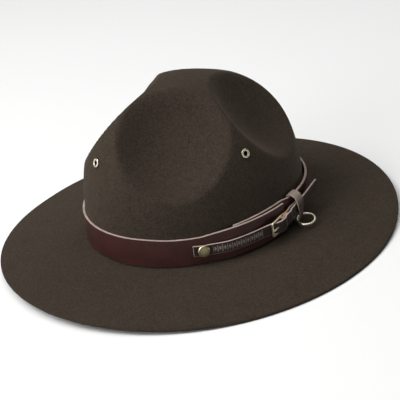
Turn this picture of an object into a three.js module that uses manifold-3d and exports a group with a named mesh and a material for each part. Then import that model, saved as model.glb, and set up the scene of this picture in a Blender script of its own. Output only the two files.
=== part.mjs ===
// Campaign hat: a one-piece felt body with four pressed dents, a wide leather band that
// overlaps itself on the wearer's left, and a narrow buckled strap laid over that band.
// Millimetres, +Z up. The front of the hat faces -Y and the wearer's left is +X.
// Z = 0 is the surface that the brim's two side edges rest on.
import * as THREE from 'three';
import { mergeVertices } from 'three/addons/utils/BufferGeometryUtils.js';
import Module from 'manifold-3d';

// Felt body
const CROWN_HALF_LENGTH = 101.2;
const CROWN_HALF_WIDTH = 86.6;
const CROWN_HEIGHT = 130.6;
const CROWN_LEAN = 3.3;
const LEAN_START = 0.3;
const LEAN_CURVE = 1.5;
const FRONT_FULLNESS = 0.04;
const FELT = 2.5;
const BRIM_WIDTH = 81.2;
const BRIM_RISE = 12.5;
const BRIM_LIFT = 7.4;
const BRIM_CURVE = 1.3;
const BRIM_LIFT_CURVE = 1.6;
const REST_SINK = 1;
const REST_CURVE = 4;
const REST_STRIP = 3.5;
const JOINT_RADIUS = 2;
const DENT_ROUNDNESS = 100;

// Eyelets
const EYELETS = [
  { side: 'front', turn: -3, height: 97.4 },
  { side: 'left', turn: 92.6, height: 95.4 },
  { side: 'rear', turn: 180, height: 96.4 },
  { side: 'right', turn: -92.6, height: 95.4 },
];
const EYELET_HOLE = 4.2;
const EYELET_FLANGE = 7.8;
const EYELET_COLLAR = 6.6;
const EYELET_SHEET = 0.5;
const EYELET_DOME = 0.9;

// Leather and straps
const SEAT_GAP = 0.3;
const BAND_LEATHER = 2;
const BAND_WIDTH = 26;
const BAND_CLEAR = 1.9;
const STRAP_LEATHER = 1.6;
const STRAP_WIDTH = 9.6;
const STRAP_HEIGHT = 30;
const TAB_LEATHER = 1.2;
const TAB_WIDTH = 10;
const TAB_FOOT_WIDTH = 6.4;
const TAB_TURN = 115.4;
const TAB_SLANT = 10;
const TAB_CLEAR = 1.9;
const TAB_NARROWING = { from: 0.35, to: 0.7 };

// Brass
const STUD_TURN = 60.7;
const STUD_HEAD = 10.5;
const STUD_HEAD_DEPTH = 1.9;
const STUD_POST = 4;
const STUD_HOLE_DEPTH = 16;
const BUCKLE_TURN = 101.9;
const BUCKLE_LENGTH = 15.2;
const BUCKLE_BAR = 1.6;
const BUCKLE_TILT = 12;
const BUCKLE_CORNER = 1.4;
const BUCKLE_HOLE_CORNER = 0.5;
const BUCKLE_BEVEL = 0.35;
const PRONG_WIRE = 1.5;
const PRONG_EYE = 1.2;
const SLOT_LENGTH = 10;
const SLOT_DEPTH = 8;
const SLOT_SHIFT = 1;
const RING_RADIUS = 7.5;
const RING_WIRE = 2.1;
const RING_DROP = 6.3;

// Fineness of the faceted surfaces
const AROUND = 76;
const BAND_STEP = 5.6;
const STRAP_STEP = 2;
const FOLD_STEPS = 10;
const TAB_STEPS = 38;
const TAB_FOOT_STEPS = 8;
const PRONG_STEPS = 12;
const PRONG_SIDES = 8;
const ROUND_SIDES = 14;
const STUD_SIDES = 20;
const RING_STEPS = 24;
const RING_SIDES = 7;

// How full the crown's profile is, in front, behind and at the sides. Climb shapes the
// height and reach the distance from the middle, as exponents of one superellipse.
const PROFILE = {
  front: { climb: 2.95, reach: 3.12 },
  rear: { climb: 3.16, reach: 1.86 },
  side: { climb: 2.47, reach: 2.43 },
};

// The dents, a front pair and a rear pair, each mirrored left to right. Turn and tilt
// are degrees. Height and halfHeight are shares of CROWN_HEIGHT, and reach, halfWidth and
// depth of CROWN_HALF_WIDTH. Blend is how wide the dent's rim is rounded over.
const DENTS = [
  {
    turn: 52.6, height: 0.702, reach: 0.688, tilt: 44.5,
    halfWidth: 0.467, halfHeight: 0.358, depth: 0.15, blend: 12,
  },
  {
    turn: 128, height: 0.7, reach: 0.687, tilt: 43.5,
    halfWidth: 0.445, halfHeight: 0.37, depth: 0.14, blend: 8,
  },
];

// The dents' rays start inside the crown, this share of its lean and height from the brim
const CORE_LEAN = 0.4;
const CORE_HEIGHT = 0.345;

// Rows of the felt skin: shares of BRIM_WIDTH from the edge inwards, then degrees of
// climb from the joint to the peak.
const BRIM_ROWS = [1, 0.72, 0.42, 0.17];
const CLIMB_ROWS = [3, 8.5, 15, 22, 29, 36, 43, 50, 57, 63.5, 69.5, 75, 80, 85];

// The wide band from its inner end round the hat to its outer end, turn in degrees.
// Layers is how many band layers lie under it. Shares of BAND_WIDTH are lean, how far its
// top edge stands off the crown, rise, how far it climbs, and top, what its width gains.
const BAND_ROWS = [
  { turn: 77, layers: 0, lean: 0, rise: 0.015, top: 0 },
  { turn: 92, layers: 0, lean: 0, rise: 0.045, top: 0 },
  { turn: 104, layers: 0, lean: 0, rise: 0.05, top: 0 },
  { turn: 107.6, layers: 0, lean: 0.01, rise: 0.048, top: 0 },
  { turn: 112, layers: 0, lean: 0.084, rise: 0.034, top: 0 },
  { turn: 122, layers: 0, lean: 0.095, rise: 0.01, top: 0 },
  { turn: 131, layers: 0, lean: 0.1, rise: 0, top: 0 },
  { turn: 142, layers: 0, lean: 0.08, rise: 0, top: 0 },
  { turn: 152, layers: 0, lean: 0.04, rise: 0, top: 0 },
  { turn: 163, layers: 0, lean: 0, rise: 0, top: 0 },
  { turn: 200, layers: 0, lean: 0, rise: 0, top: -0.04 },
  { turn: 390, layers: 0, lean: 0, rise: 0, top: -0.04 },
  { turn: 407, layers: 0, lean: 0, rise: 0, top: -0.08 },
  { turn: 419, layers: 0, lean: 0, rise: 0, top: -0.09 },
  { turn: 424, layers: 0, lean: 0, rise: 0, top: -0.07 },
  { turn: 436, layers: 1, lean: 0, rise: 0, top: 0 },
  { turn: 452, layers: 1, lean: 0, rise: -0.005, top: 0 },
  { turn: 467.3, layers: 1, lean: 0.005, rise: -0.016, top: 0 },
];

// The narrow strap from its studded end to its free tip. Bands and straps are how many
// layers of each leather lie under it, bow is what it stands off them and rise how far
// it climbs, both as shares of STRAP_WIDTH.
const BILLET_ROWS = [
  { turn: 55.8, bands: 1, straps: 0, bow: 0, rise: -0.03 },
  { turn: 60.7, bands: 1, straps: 0, bow: 0, rise: -0.115 },
  { turn: 63, bands: 1, straps: 0, bow: 0, rise: -0.125 },
  { turn: 74, bands: 2, straps: 0, bow: 0.02, rise: -0.13 },
  { turn: 88, bands: 2, straps: 0, bow: 0.06, rise: -0.1 },
  { turn: 93.6, bands: 2, straps: 0, bow: 0.19, rise: -0.06 },
  { turn: 95.2, bands: 2, straps: 0, bow: 0.3, rise: -0.04 },
  { turn: 97.4, bands: 2, straps: 0, bow: 0.6, rise: -0.01 },
  { turn: 99.6, bands: 2, straps: 2, bow: 0.28, rise: 0 },
  { turn: 102.2, bands: 2, straps: 2, bow: 0.22, rise: 0 },
  { turn: 104.5, bands: 2, straps: 2, bow: 0.04, rise: 0.06 },
  { turn: 107.5, bands: 2, straps: 2, bow: 0.02, rise: 0.12 },
  { turn: 110.5, bands: 1, straps: 2, bow: 0.1, rise: 0.17 },
  { turn: 115, bands: 1, straps: 1, bow: 0.24, rise: 0.24 },
  { turn: 122, bands: 1, straps: 1, bow: 0.3, rise: 0.32 },
  { turn: 131, bands: 1, straps: 1, bow: 0.46, rise: 0.42 },
  { turn: 137, bands: 1, straps: 1, bow: 0.7, rise: 0.49 },
];

// The strap that holds the buckle, from its end under the tab to the buckle bar, and
// from the bar back along the outside of itself, with the same columns as above.
const BUCKLE_STRAP_INNER = [
  { turn: 117, bands: 1, straps: 0, bow: 0.19, rise: 0.2 },
  { turn: 111.5, bands: 1, straps: 0, bow: 0.19, rise: 0.155 },
  { turn: 107.6, bands: 2, straps: 0, bow: 0.02, rise: 0.05 },
  { turn: BUCKLE_TURN, bands: 2, straps: 0, bow: 0, rise: 0 },
];
const BUCKLE_STRAP_OUTER = [
  { turn: BUCKLE_TURN, bands: 2, straps: 1, bow: 0.21, rise: 0 },
  { turn: 104.4, bands: 2, straps: 1, bow: 0.02, rise: 0.02 },
  { turn: 106.6, bands: 2, straps: 1, bow: 0.02, rise: 0.04 },
];

// The tab over the band's top edge and down to the ring, seen from its side. Out is a
// share of STRAP_WIDTH from the crown, up a share of BAND_WIDTH from the band's foot.
const TAB_ROWS = [
  { out: 0.05, up: 0.87 },
  { out: 0.055, up: 0.99 },
  { out: 0.18, up: 1.05 },
  { out: 0.38, up: 1.066 },
  { out: 0.62, up: 1.05 },
  { out: 0.86, up: 0.99 },
  { out: 1.01, up: 0.88 },
  { out: 1.06, up: 0.74 },
  { out: 1.05, up: 0.55 },
  { out: 1.01, up: 0.38 },
  { out: 0.9, up: 0.23 },
];

// The prong's middle line in front of the rear bar. Along is a share of BUCKLE_LENGTH,
// and out a share of how far the middle of the wire stands off the middle of a bar.
const PRONG_ROWS = [
  { along: 0.23, out: 0.32 },
  { along: 0.42, out: 0.75 },
  { along: 0.72, out: 1.02 },
  { along: 1.074, out: 1.02 },
];

// The outer faces of an eyelet and of the stud's head, from the rim inwards. Radius is a
// share of the half width, out a share of how far the middle of the face stands out.
const EYELET_FACE = [
  { radius: 1, out: 0 },
  { radius: 0.86, out: 0.8 },
  { radius: 0.7, out: 1 },
];
const EYELET_LIP = 0.4;
const STUD_FACE = [
  { radius: 1, out: 0 },
  { radius: 1, out: 0.5 },
  { radius: 0.86, out: 0.92 },
  { radius: 0.5, out: 1 },
  { radius: 0, out: 1 },
];

const FELT_BROWN = 0x4a4036;
const BAND_OXBLOOD = 0x4a211d;
const STRAP_BROWN = 0x33211d;
const BRASS = 0xa89a62;

const UP = new THREE.Vector3(0, 0, 1);
const BRIM_TOP = BRIM_RISE + FELT;
const BUCKLE_HEIGHT = STRAP_WIDTH + 2 * (BUCKLE_BAR + SEAT_GAP);
const BAND_FOOT = BRIM_TOP + BAND_CLEAR;

function radians(degrees) {
  return THREE.MathUtils.degToRad(degrees);
}

// One column of a table at a turn between its rows, smooth and without overshoot
function follow(rows, column, turn) {
  const ascending = rows[0].turn < rows[rows.length - 1].turn;
  const list = ascending ? rows : [...rows].reverse();
  const last = list.length - 2;
  const found = list.findIndex((row, i) => i <= last && turn <= list[i + 1].turn);
  const at = found < 0 ? last : found;
  const slope = (i) => (list[i + 1][column] - list[i][column]) / (list[i + 1].turn - list[i].turn);
  const tangent = (i) => {
    if (i === 0) return slope(0);
    if (i === list.length - 1) return slope(last);
    const before = slope(i - 1);
    const after = slope(i);
    return before * after > 0 ? (2 * before * after) / (before + after) : 0;
  };
  const span = list[at + 1].turn - list[at].turn;
  const t = THREE.MathUtils.clamp((turn - list[at].turn) / span, 0, 1);
  const rise = t * t * (3 - 2 * t);
  const leave = t * (1 - t) * (1 - t) * span;
  const arrive = t * t * (t - 1) * span;
  const start = list[at][column];
  const end = list[at + 1][column];
  return start + (end - start) * rise + tangent(at) * leave + tangent(at + 1) * arrive;
}

// The crown's profile exponents at a turn from the front, blended between the sides
function profileAt(angle) {
  const along = Math.cos(angle);
  const end = along > 0 ? PROFILE.front : PROFILE.rear;
  const share = along * along;
  return {
    climb: end.climb * share + PROFILE.side.climb * (1 - share),
    reach: end.reach * share + PROFILE.side.reach * (1 - share),
  };
}

// A point of the hat's oval, scaled by reach and widened by spread
function ovalPoint(angle, reach, spread, fullness) {
  const x = (CROWN_HALF_WIDTH * reach + spread) * Math.sin(angle) * (1 + fullness * Math.cos(angle));
  const y = -(CROWN_HALF_LENGTH * reach + spread) * Math.cos(angle);
  return new THREE.Vector3(x, y, 0);
}

// The outward direction, level, of the crown's base oval
function outward(angle) {
  const step = 0.001;
  const before = ovalPoint(angle - step, 1, 0, FRONT_FULLNESS);
  const after = ovalPoint(angle + step, 1, 0, FRONT_FULLNESS);
  return after.sub(before).cross(UP).normalize();
}

// A point at a height that stands off the crown's wall, below the dents
function wallPoint(angle, height, standoff) {
  const profile = profileAt(angle);
  const share = Math.max(0, height - BRIM_TOP) / CROWN_HEIGHT;
  const reach = (1 - share ** profile.climb) ** (1 / profile.reach);
  const point = ovalPoint(angle, reach, 0, FRONT_FULLNESS).addScaledVector(outward(angle), standoff);
  return point.setZ(height);
}

// How far the crown leans back at a height above the brim
function leanAt(height) {
  const start = LEAN_START * CROWN_HEIGHT;
  const share = Math.max(0, (height - start) / (CROWN_HEIGHT - start));
  return CROWN_LEAN * share ** LEAN_CURVE;
}

// Each dent is a shallow ellipsoid pressed into the crown from outside
function makeDent(row, angle) {
  const height = row.height * CROWN_HEIGHT;
  const depth = row.depth * CROWN_HALF_WIDTH;
  const level = ovalPoint(angle, 1, 0, 0).normalize();
  const tilt = radians(row.tilt);
  const out = level.clone().multiplyScalar(Math.cos(tilt)).addScaledVector(UP, Math.sin(tilt));
  const across = UP.clone().cross(level).normalize();
  const along = out.clone().cross(across);
  const middle = level.clone().multiplyScalar(row.reach * CROWN_HALF_WIDTH);
  middle.y += leanAt(height);
  middle.z = BRIM_TOP + height;
  const rim = Math.sqrt(1 - ((DENT_ROUNDNESS - depth) / DENT_ROUNDNESS) ** 2);
  return {
    centre: middle.addScaledVector(out, DENT_ROUNDNESS - depth),
    axes: [out, across, along],
    radii: [
      DENT_ROUNDNESS,
      (row.halfWidth * CROWN_HALF_WIDTH) / rim,
      (row.halfHeight * CROWN_HEIGHT) / rim,
    ],
    blend: row.blend,
  };
}

const dents = DENTS.flatMap((row) => [
  makeDent(row, radians(row.turn)),
  makeDent(row, radians(-row.turn)),
]);

// How far from a point inside the crown a ray runs before it meets a dent
function distanceToDent(dent, from, direction) {
  const start = from.clone().sub(dent.centre);
  let a = 0;
  let b = 0;
  let c = -1;
  dent.axes.forEach((axis, i) => {
    const p = start.dot(axis) / dent.radii[i];
    const q = direction.dot(axis) / dent.radii[i];
    a += q * q;
    b += p * q;
    c += p * p;
  });
  const root = b * b - a * c;
  const nearer = root > 0 ? (-b - Math.sqrt(root)) / a : Infinity;
  return nearer > 0 ? nearer : Infinity;
}

function blendNearer(far, near, blend) {
  if (near > far + blend) return far;
  const share = THREE.MathUtils.clamp(0.5 + (0.5 * (near - far)) / blend, 0, 1);
  return near * (1 - share) + far * share - blend * share * (1 - share);
}

const CROWN_CORE = new THREE.Vector3(
  0,
  CORE_LEAN * CROWN_LEAN,
  BRIM_TOP + CORE_HEIGHT * CROWN_HEIGHT,
);

// The crown's outer skin at a turn from the front and a climb from the brim to the peak
function crownPoint(angle, climb) {
  const profile = profileAt(angle);
  const height = CROWN_HEIGHT * Math.sin(climb) ** (2 / profile.climb);
  const reach = Math.max(0, Math.cos(climb)) ** (2 / profile.reach);
  const point = ovalPoint(angle, reach, 0, FRONT_FULLNESS);
  point.y += leanAt(height);
  point.z = BRIM_TOP + height;
  const ray = point.sub(CROWN_CORE);
  const domeDistance = ray.length();
  ray.normalize();
  const pressed = dents.reduce(
    (distance, dent) => {
      return blendNearer(distance, distanceToDent(dent, CROWN_CORE, ray), dent.blend);
    },
    domeDistance,
  );
  return CROWN_CORE.clone().addScaledVector(ray, pressed);
}

// The brim's underside, which lies flat where the side edges rest
function brimUnderside(angle, share) {
  const slope = BRIM_RISE * (1 - share ** BRIM_CURVE);
  const lift = BRIM_LIFT * Math.cos(angle) ** 2 * share ** BRIM_LIFT_CURVE;
  const sink = REST_SINK * share ** REST_CURVE;
  return Math.max(0, slope + lift - sink);
}

function brimPoint(angle, share) {
  const point = ovalPoint(angle, 1, BRIM_WIDTH * share, FRONT_FULLNESS * (1 - share));
  return point.setZ(brimUnderside(angle, share) + FELT);
}

// The small hollow curve between brim and crown, from 0 on the brim to 1 on the crown
function jointPoint(angle, share) {
  const spread = JOINT_RADIUS * (1 - Math.sin((share * Math.PI) / 2));
  const climb = JOINT_RADIUS * (1 - Math.cos((share * Math.PI) / 2));
  const point = ovalPoint(angle, 1, spread, FRONT_FULLNESS);
  return point.setZ(BRIM_TOP + climb);
}

function closedMesh(points, faces) {
  const geometry = new THREE.BufferGeometry();
  const places = points.flatMap((point) => point.toArray());
  geometry.setAttribute('position', new THREE.Float32BufferAttribute(places, 3));
  geometry.setIndex(faces.flat());
  geometry.computeVertexNormals();
  return geometry;
}

// Manifold solids for cutting holes
const wasm = await Module();
wasm.setup();

function toSolid(geometry) {
  const bare = geometry.clone();
  bare.deleteAttribute('normal');
  bare.deleteAttribute('uv');
  const merged = mergeVertices(bare, 1e-4);
  const vertProperties = new Float32Array(merged.attributes.position.array);
  const triVerts = new Uint32Array(merged.index.array);
  return new wasm.Manifold(new wasm.Mesh({ numProp: 3, vertProperties, triVerts }));
}

function toGeometry(solid) {
  const mesh = solid.getMesh();
  const geometry = new THREE.BufferGeometry();
  const places = new Float32Array(mesh.vertProperties);
  geometry.setAttribute('position', new THREE.BufferAttribute(places, 3));
  geometry.setIndex(new THREE.BufferAttribute(new Uint32Array(mesh.triVerts), 1));
  geometry.computeVertexNormals();
  return geometry;
}

function cut(geometry, cutters) {
  const solid = cutters.reduce((left, cutter) => left.subtract(toSolid(cutter)), toSolid(geometry));
  return toGeometry(solid);
}

// A four-cornered patch as two triangles, cut along its shorter diagonal
function shorterSplit(points, a, b, c, d) {
  const straight = points[a].distanceTo(points[c]) <= points[b].distanceTo(points[d]);
  return straight ? [[a, b, c], [a, c, d]] : [[a, b, d], [b, c, d]];
}

// The outer skin row by row, then the inner skin one felt thickness inside it
function feltShell() {
  const restShare = 1 - REST_STRIP / BRIM_WIDTH;
  const seamShare = JOINT_RADIUS / BRIM_WIDTH;
  const brimShares = [BRIM_ROWS[0], restShare, ...BRIM_ROWS.slice(1)];
  const angles = Array.from({ length: AROUND }, (_, i) => (i / AROUND) * 2 * Math.PI);
  const brimRows = brimShares.map((share) => angles.map((a) => brimPoint(a, share)));
  brimRows.push(angles.map((a) => jointPoint(a, 0).setZ(brimUnderside(a, seamShare) + FELT)));
  const crownRows = [0.5, 1].map((share) => angles.map((a) => jointPoint(a, share)));
  CLIMB_ROWS.forEach((climb) => crownRows.push(angles.map((a) => crownPoint(a, radians(climb)))));
  const rows = [...brimRows, ...crownRows];
  const peak = crownPoint(0, Math.PI / 2);
  const outer = [...rows.flat(), peak];
  const faces = [];
  for (let row = 0; row < rows.length - 1; row += 1) {
    for (let i = 0; i < AROUND; i += 1) {
      const next = (i + 1) % AROUND;
      const a = row * AROUND + i;
      const b = row * AROUND + next;
      faces.push(...shorterSplit(outer, a, b, b + AROUND, a + AROUND));
    }
  }
  const top = outer.length - 1;
  for (let i = 0; i < AROUND; i += 1) {
    faces.push([top - AROUND + i, top - AROUND + ((i + 1) % AROUND), top]);
  }
  const normals = closedMesh(outer, faces).attributes.normal;
  const flatCount = brimRows.length * AROUND;
  const inner = outer.map((point, i) => {
    const normal = i < flatCount ? UP : new THREE.Vector3().fromBufferAttribute(normals, i);
    return point.clone().addScaledVector(normal, -FELT);
  });
  const shift = outer.length;
  const innerFaces = faces.map(([a, b, c]) => [a + shift, c + shift, b + shift]);
  const edgeFaces = [];
  for (let i = 0; i < AROUND; i += 1) {
    const next = (i + 1) % AROUND;
    edgeFaces.push([i, i + shift, next + shift], [i, next + shift, next]);
  }
  return closedMesh([...outer, ...inner], [...faces, ...innerFaces, ...edgeFaces]);
}

// Where an eyelet sits: the point of the crown at its height, and the way it faces
function eyeletSeat({ turn, height }) {
  const angle = radians(turn);
  let low = 0;
  let high = Math.PI / 2;
  for (let i = 0; i < 30; i += 1) {
    const middle = (low + high) / 2;
    if (crownPoint(angle, middle).z < height) low = middle;
    else high = middle;
  }
  const step = 0.05;
  const point = crownPoint(angle, low);
  const aside = crownPoint(angle + step, low).sub(crownPoint(angle - step, low));
  const above = crownPoint(angle, low + step).sub(crownPoint(angle, low - step));
  return { point, facing: aside.cross(above).normalize() };
}

function lathe(profile, sides) {
  const points = profile.map(([radius, height]) => new THREE.Vector2(radius, height));
  return new THREE.LatheGeometry(points, sides);
}

// An eyelet's axis is +Y here: a domed flange outside, a barrel, a flat collar inside
function eyeletGeometry() {
  const hole = EYELET_HOLE / 2;
  const barrel = hole + EYELET_SHEET;
  const flange = EYELET_FLANGE / 2;
  const collar = EYELET_COLLAR / 2;
  const seat = 2 * SEAT_GAP;
  const inside = -FELT - seat;
  const profile = [
    [hole, inside - EYELET_SHEET],
    [collar, inside - EYELET_SHEET],
    [collar, inside],
    [barrel, inside],
    [barrel, seat],
    ...EYELET_FACE.map(({ radius, out }) => [flange * radius, seat + EYELET_DOME * out]),
    [hole, seat + EYELET_DOME * EYELET_LIP],
    [hole, inside - EYELET_SHEET],
  ];
  return lathe(profile, ROUND_SIDES);
}

function place(object, point, facing) {
  object.position.copy(point);
  object.quaternion.setFromUnitVectors(new THREE.Vector3(0, 1, 0), facing);
}

function cylinderAt(radius, length, point, facing) {
  const holder = new THREE.Object3D();
  place(holder, point, facing);
  holder.updateMatrixWorld();
  const cylinder = new THREE.CylinderGeometry(radius, radius, length, ROUND_SIDES);
  return cylinder.applyMatrix4(holder.matrixWorld);
}

// A strip of leather as a closed box swept through stations. Each station has its four
// corners: inner low, outer low, outer high and inner high.
function ribbon(stations) {
  const points = stations.flat();
  const faces = [];
  for (let i = 0; i < stations.length - 1; i += 1) {
    for (let k = 0; k < 4; k += 1) {
      const a = i * 4 + k;
      const b = i * 4 + ((k + 1) % 4);
      faces.push([a, a + 4, b + 4], [a, b + 4, b]);
    }
  }
  const end = points.length - 4;
  faces.push([0, 1, 2], [0, 2, 3], [end, end + 2, end + 1], [end, end + 3, end + 2]);
  return closedMesh(points, faces);
}

// Turns from the first row of a table to its last, about one step of length apart
function turnsOf(rows, step) {
  const first = rows[0].turn;
  const last = rows[rows.length - 1].turn;
  const meanRadius = (CROWN_HALF_LENGTH + CROWN_HALF_WIDTH) / 2;
  const count = Math.ceil((Math.abs(last - first) * radians(1) * meanRadius) / step);
  return Array.from({ length: count + 1 }, (_, i) => first + ((last - first) * i) / count);
}

function bandStations() {
  return turnsOf(BAND_ROWS, BAND_STEP).map((turn) => {
    const angle = radians(turn);
    const standoff = SEAT_GAP + follow(BAND_ROWS, 'layers', turn) * (BAND_LEATHER + SEAT_GAP);
    const lean = bandLean(turn);
    const low = BAND_FOOT + follow(BAND_ROWS, 'rise', turn) * BAND_WIDTH;
    const high = low + BAND_WIDTH * (1 + follow(BAND_ROWS, 'top', turn));
    return [
      wallPoint(angle, low, standoff),
      wallPoint(angle, low, standoff + BAND_LEATHER),
      wallPoint(angle, high, standoff + BAND_LEATHER + lean),
      wallPoint(angle, high, standoff + lean),
    ];
  });
}

function bandLean(turn) {
  return follow(BAND_ROWS, 'lean', turn) * BAND_WIDTH;
}

// How far a narrow strap's inner face stands off the crown, over the leather under it
function strapStandoff(rows, turn) {
  const bands = follow(rows, 'bands', turn) * (BAND_LEATHER + SEAT_GAP);
  const straps = follow(rows, 'straps', turn) * (STRAP_LEATHER + SEAT_GAP);
  return SEAT_GAP + bands + straps + follow(rows, 'bow', turn) * STRAP_WIDTH;
}

// A narrow strap's path seen from above, along the middle of its thickness
function strapPath(rows) {
  return turnsOf(rows, STRAP_STEP).map((turn) => {
    const standoff = strapStandoff(rows, turn) + STRAP_LEATHER / 2;
    const height = STRAP_HEIGHT + follow(rows, 'rise', turn) * STRAP_WIDTH;
    return wallPoint(radians(turn), BAND_FOOT, standoff).setZ(height);
  });
}

// A path on its way round the hat, thickened level and widened upright
function strapStations(path) {
  return path.map((point, i) => {
    const before = path[Math.max(0, i - 1)];
    const after = path[Math.min(path.length - 1, i + 1)];
    const side = after.clone().sub(before).setZ(0).normalize().cross(UP);
    const inner = point.clone().addScaledVector(side, -STRAP_LEATHER / 2);
    const outer = point.clone().addScaledVector(side, STRAP_LEATHER / 2);
    const half = STRAP_WIDTH / 2;
    return [
      inner.clone().setZ(point.z - half),
      outer.clone().setZ(point.z - half),
      outer.clone().setZ(point.z + half),
      inner.clone().setZ(point.z + half),
    ];
  });
}

// The buckle's rear bar, in the fold of its strap
const barUnder = strapStandoff(BUCKLE_STRAP_INNER, BUCKLE_TURN) + STRAP_LEATHER + SEAT_GAP;
const barStandoff = barUnder + BUCKLE_BAR / 2;
const barPoint = wallPoint(radians(BUCKLE_TURN), BAND_FOOT, barStandoff).setZ(STRAP_HEIGHT);
const barOut = outward(radians(BUCKLE_TURN));
const barAlong = UP.clone().cross(barOut);

// The fold round the bar, a half turn from the inner leather to the outer
function foldPath() {
  const radius = BUCKLE_BAR / 2 + SEAT_GAP + STRAP_LEATHER / 2;
  return Array.from({ length: FOLD_STEPS - 1 }, (_, i) => {
    const swing = (Math.PI * (i + 1)) / FOLD_STEPS;
    const point = barPoint.clone().addScaledVector(barOut, -radius * Math.cos(swing));
    return point.addScaledVector(barAlong, -radius * Math.sin(swing));
  });
}

function buckleStrap() {
  const inner = strapPath(BUCKLE_STRAP_INNER);
  const outer = strapPath(BUCKLE_STRAP_OUTER);
  const path = [...inner, ...foldPath(), ...outer].reverse();
  return ribbon(strapStations(path));
}

// The slot in the fold that the prong's eye turns in
function prongSlot() {
  const slot = new THREE.BoxGeometry(SLOT_LENGTH, PRONG_WIRE + 2 * SEAT_GAP, SLOT_DEPTH);
  const basis = new THREE.Matrix4().makeBasis(barAlong, UP, barAlong.clone().cross(UP));
  basis.setPosition(barPoint.clone().addScaledVector(barAlong, -SLOT_SHIFT));
  return slot.applyMatrix4(basis);
}

// The buckle's own frame: X from the rear bar to the front bar, Y down, Z outward
function buckleFrameMatrix() {
  const forward = barAlong.clone().negate().applyAxisAngle(UP, radians(BUCKLE_TILT));
  const down = UP.clone().negate();
  const out = forward.clone().cross(down);
  return new THREE.Matrix4().makeBasis(forward, down, out).setPosition(barPoint);
}

function roundedRectangle(path, left, right, half, corner) {
  path.moveTo(left + corner, -half);
  path.lineTo(right - corner, -half);
  path.absarc(right - corner, -half + corner, corner, -Math.PI / 2, 0, false);
  path.lineTo(right, half - corner);
  path.absarc(right - corner, half - corner, corner, 0, Math.PI / 2, false);
  path.lineTo(left + corner, half);
  path.absarc(left + corner, half - corner, corner, Math.PI / 2, Math.PI, false);
  path.lineTo(left, -half + corner);
  path.absarc(left + corner, -half + corner, corner, Math.PI, 1.5 * Math.PI, false);
  return path;
}

function buckleFrame() {
  const half = BUCKLE_BAR / 2;
  const bevel = BUCKLE_BEVEL;
  const left = bevel - half;
  const right = BUCKLE_LENGTH + half - bevel;
  const tall = BUCKLE_HEIGHT / 2 - bevel;
  const outline = roundedRectangle(new THREE.Shape(), left, right, tall, BUCKLE_CORNER);
  const holeLeft = half - bevel;
  const holeRight = BUCKLE_LENGTH - half + bevel;
  const holeTall = BUCKLE_HEIGHT / 2 - BUCKLE_BAR + bevel;
  const hole = new THREE.Path();
  outline.holes.push(roundedRectangle(hole, holeLeft, holeRight, holeTall, BUCKLE_HOLE_CORNER));
  const depth = BUCKLE_BAR - 2 * bevel;
  const frame = new THREE.ExtrudeGeometry(outline, {
    depth,
    bevelSize: bevel,
    bevelThickness: bevel,
    bevelSegments: 1,
    curveSegments: 3,
  });
  return frame.translate(0, 0, -depth / 2);
}

// The prong in the buckle's own frame: an eye round the rear bar, and a wire that
// bows out through the strap and lies on the front bar
function prongCurve() {
  const over = BUCKLE_BAR / 2 + SEAT_GAP + PRONG_WIRE / 2;
  return new THREE.CatmullRomCurve3([
    new THREE.Vector3(over, 0, 0),
    ...PRONG_ROWS.map(({ along, out }) => new THREE.Vector3(BUCKLE_LENGTH * along, 0, over * out)),
  ]);
}

function prongTube(radius) {
  const circle = new THREE.Shape();
  circle.absarc(0, 0, radius, 0, 2 * Math.PI, false);
  return new THREE.ExtrudeGeometry(circle, {
    steps: PRONG_STEPS,
    extrudePath: prongCurve(),
    curveSegments: PRONG_SIDES / 2,
  });
}

function prongGeometry() {
  const inside = BUCKLE_BAR / 2 + SEAT_GAP;
  const outside = inside + PRONG_EYE;
  const half = PRONG_WIRE / 2;
  const section = [[inside, -half], [outside, -half], [outside, half], [inside, half], [inside, -half]];
  const eye = lathe(section, ROUND_SIDES);
  const wire = prongTube(half);
  const bore = new THREE.CylinderGeometry(inside, inside, PRONG_WIRE * 3, ROUND_SIDES);
  return toGeometry(toSolid(eye).add(toSolid(wire)).subtract(toSolid(bore)));
}

// The way the tab faces, where it hangs over the band
const tabAngle = radians(TAB_TURN);
const tabOut = outward(tabAngle);
const tabAlong = UP.clone().cross(tabOut);
const tabRing = RING_WIRE / 2 + SEAT_GAP + TAB_LEATHER / 2;
const tabBend = BAND_FOOT + BAND_WIDTH;
const tabSlant = radians(TAB_SLANT);
const footDip = (TAB_FOOT_WIDTH / 2) * Math.sin(tabSlant);
const ringEdgeOut = 2 * SEAT_GAP + BAND_LEATHER + TAB_LEATHER / 2 + tabRing;
const ringEdgeUp = BRIM_TOP + tabRing + TAB_LEATHER / 2 + TAB_CLEAR + footDip;

// How far the ring's wire curves outward within the tab's foot
const ringBulge = RING_RADIUS - Math.sqrt(RING_RADIUS ** 2 - (TAB_FOOT_WIDTH / 2) ** 2);

// A point of the tab, which drifts towards the back of the hat below the band's top edge
function tabPoint(out, height) {
  const drift = Math.tan(tabSlant) * Math.max(0, tabBend - height);
  return wallPoint(tabAngle, BAND_FOOT, out).addScaledVector(tabAlong, drift).setZ(height);
}

// The tab's middle line: over the band, down to the ring, round its wire and up again
function tabPath() {
  const rise = follow(BAND_ROWS, 'rise', TAB_TURN) * BAND_WIDTH;
  const path = TAB_ROWS.map(({ out, up }) => {
    return tabPoint(out * STRAP_WIDTH, BAND_FOOT + rise + up * BAND_WIDTH);
  });
  const spare = ringBulge / 2;
  for (let i = 0; i <= TAB_FOOT_STEPS; i += 1) {
    const swing = (Math.PI * i) / TAB_FOOT_STEPS;
    const out = ringEdgeOut + spare + (tabRing + spare) * Math.cos(swing);
    path.push(tabPoint(out, ringEdgeUp - tabRing * Math.sin(swing)));
  }
  path.push(tabPoint(ringEdgeOut - tabRing, ringEdgeUp + tabRing));
  return path;
}

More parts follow.
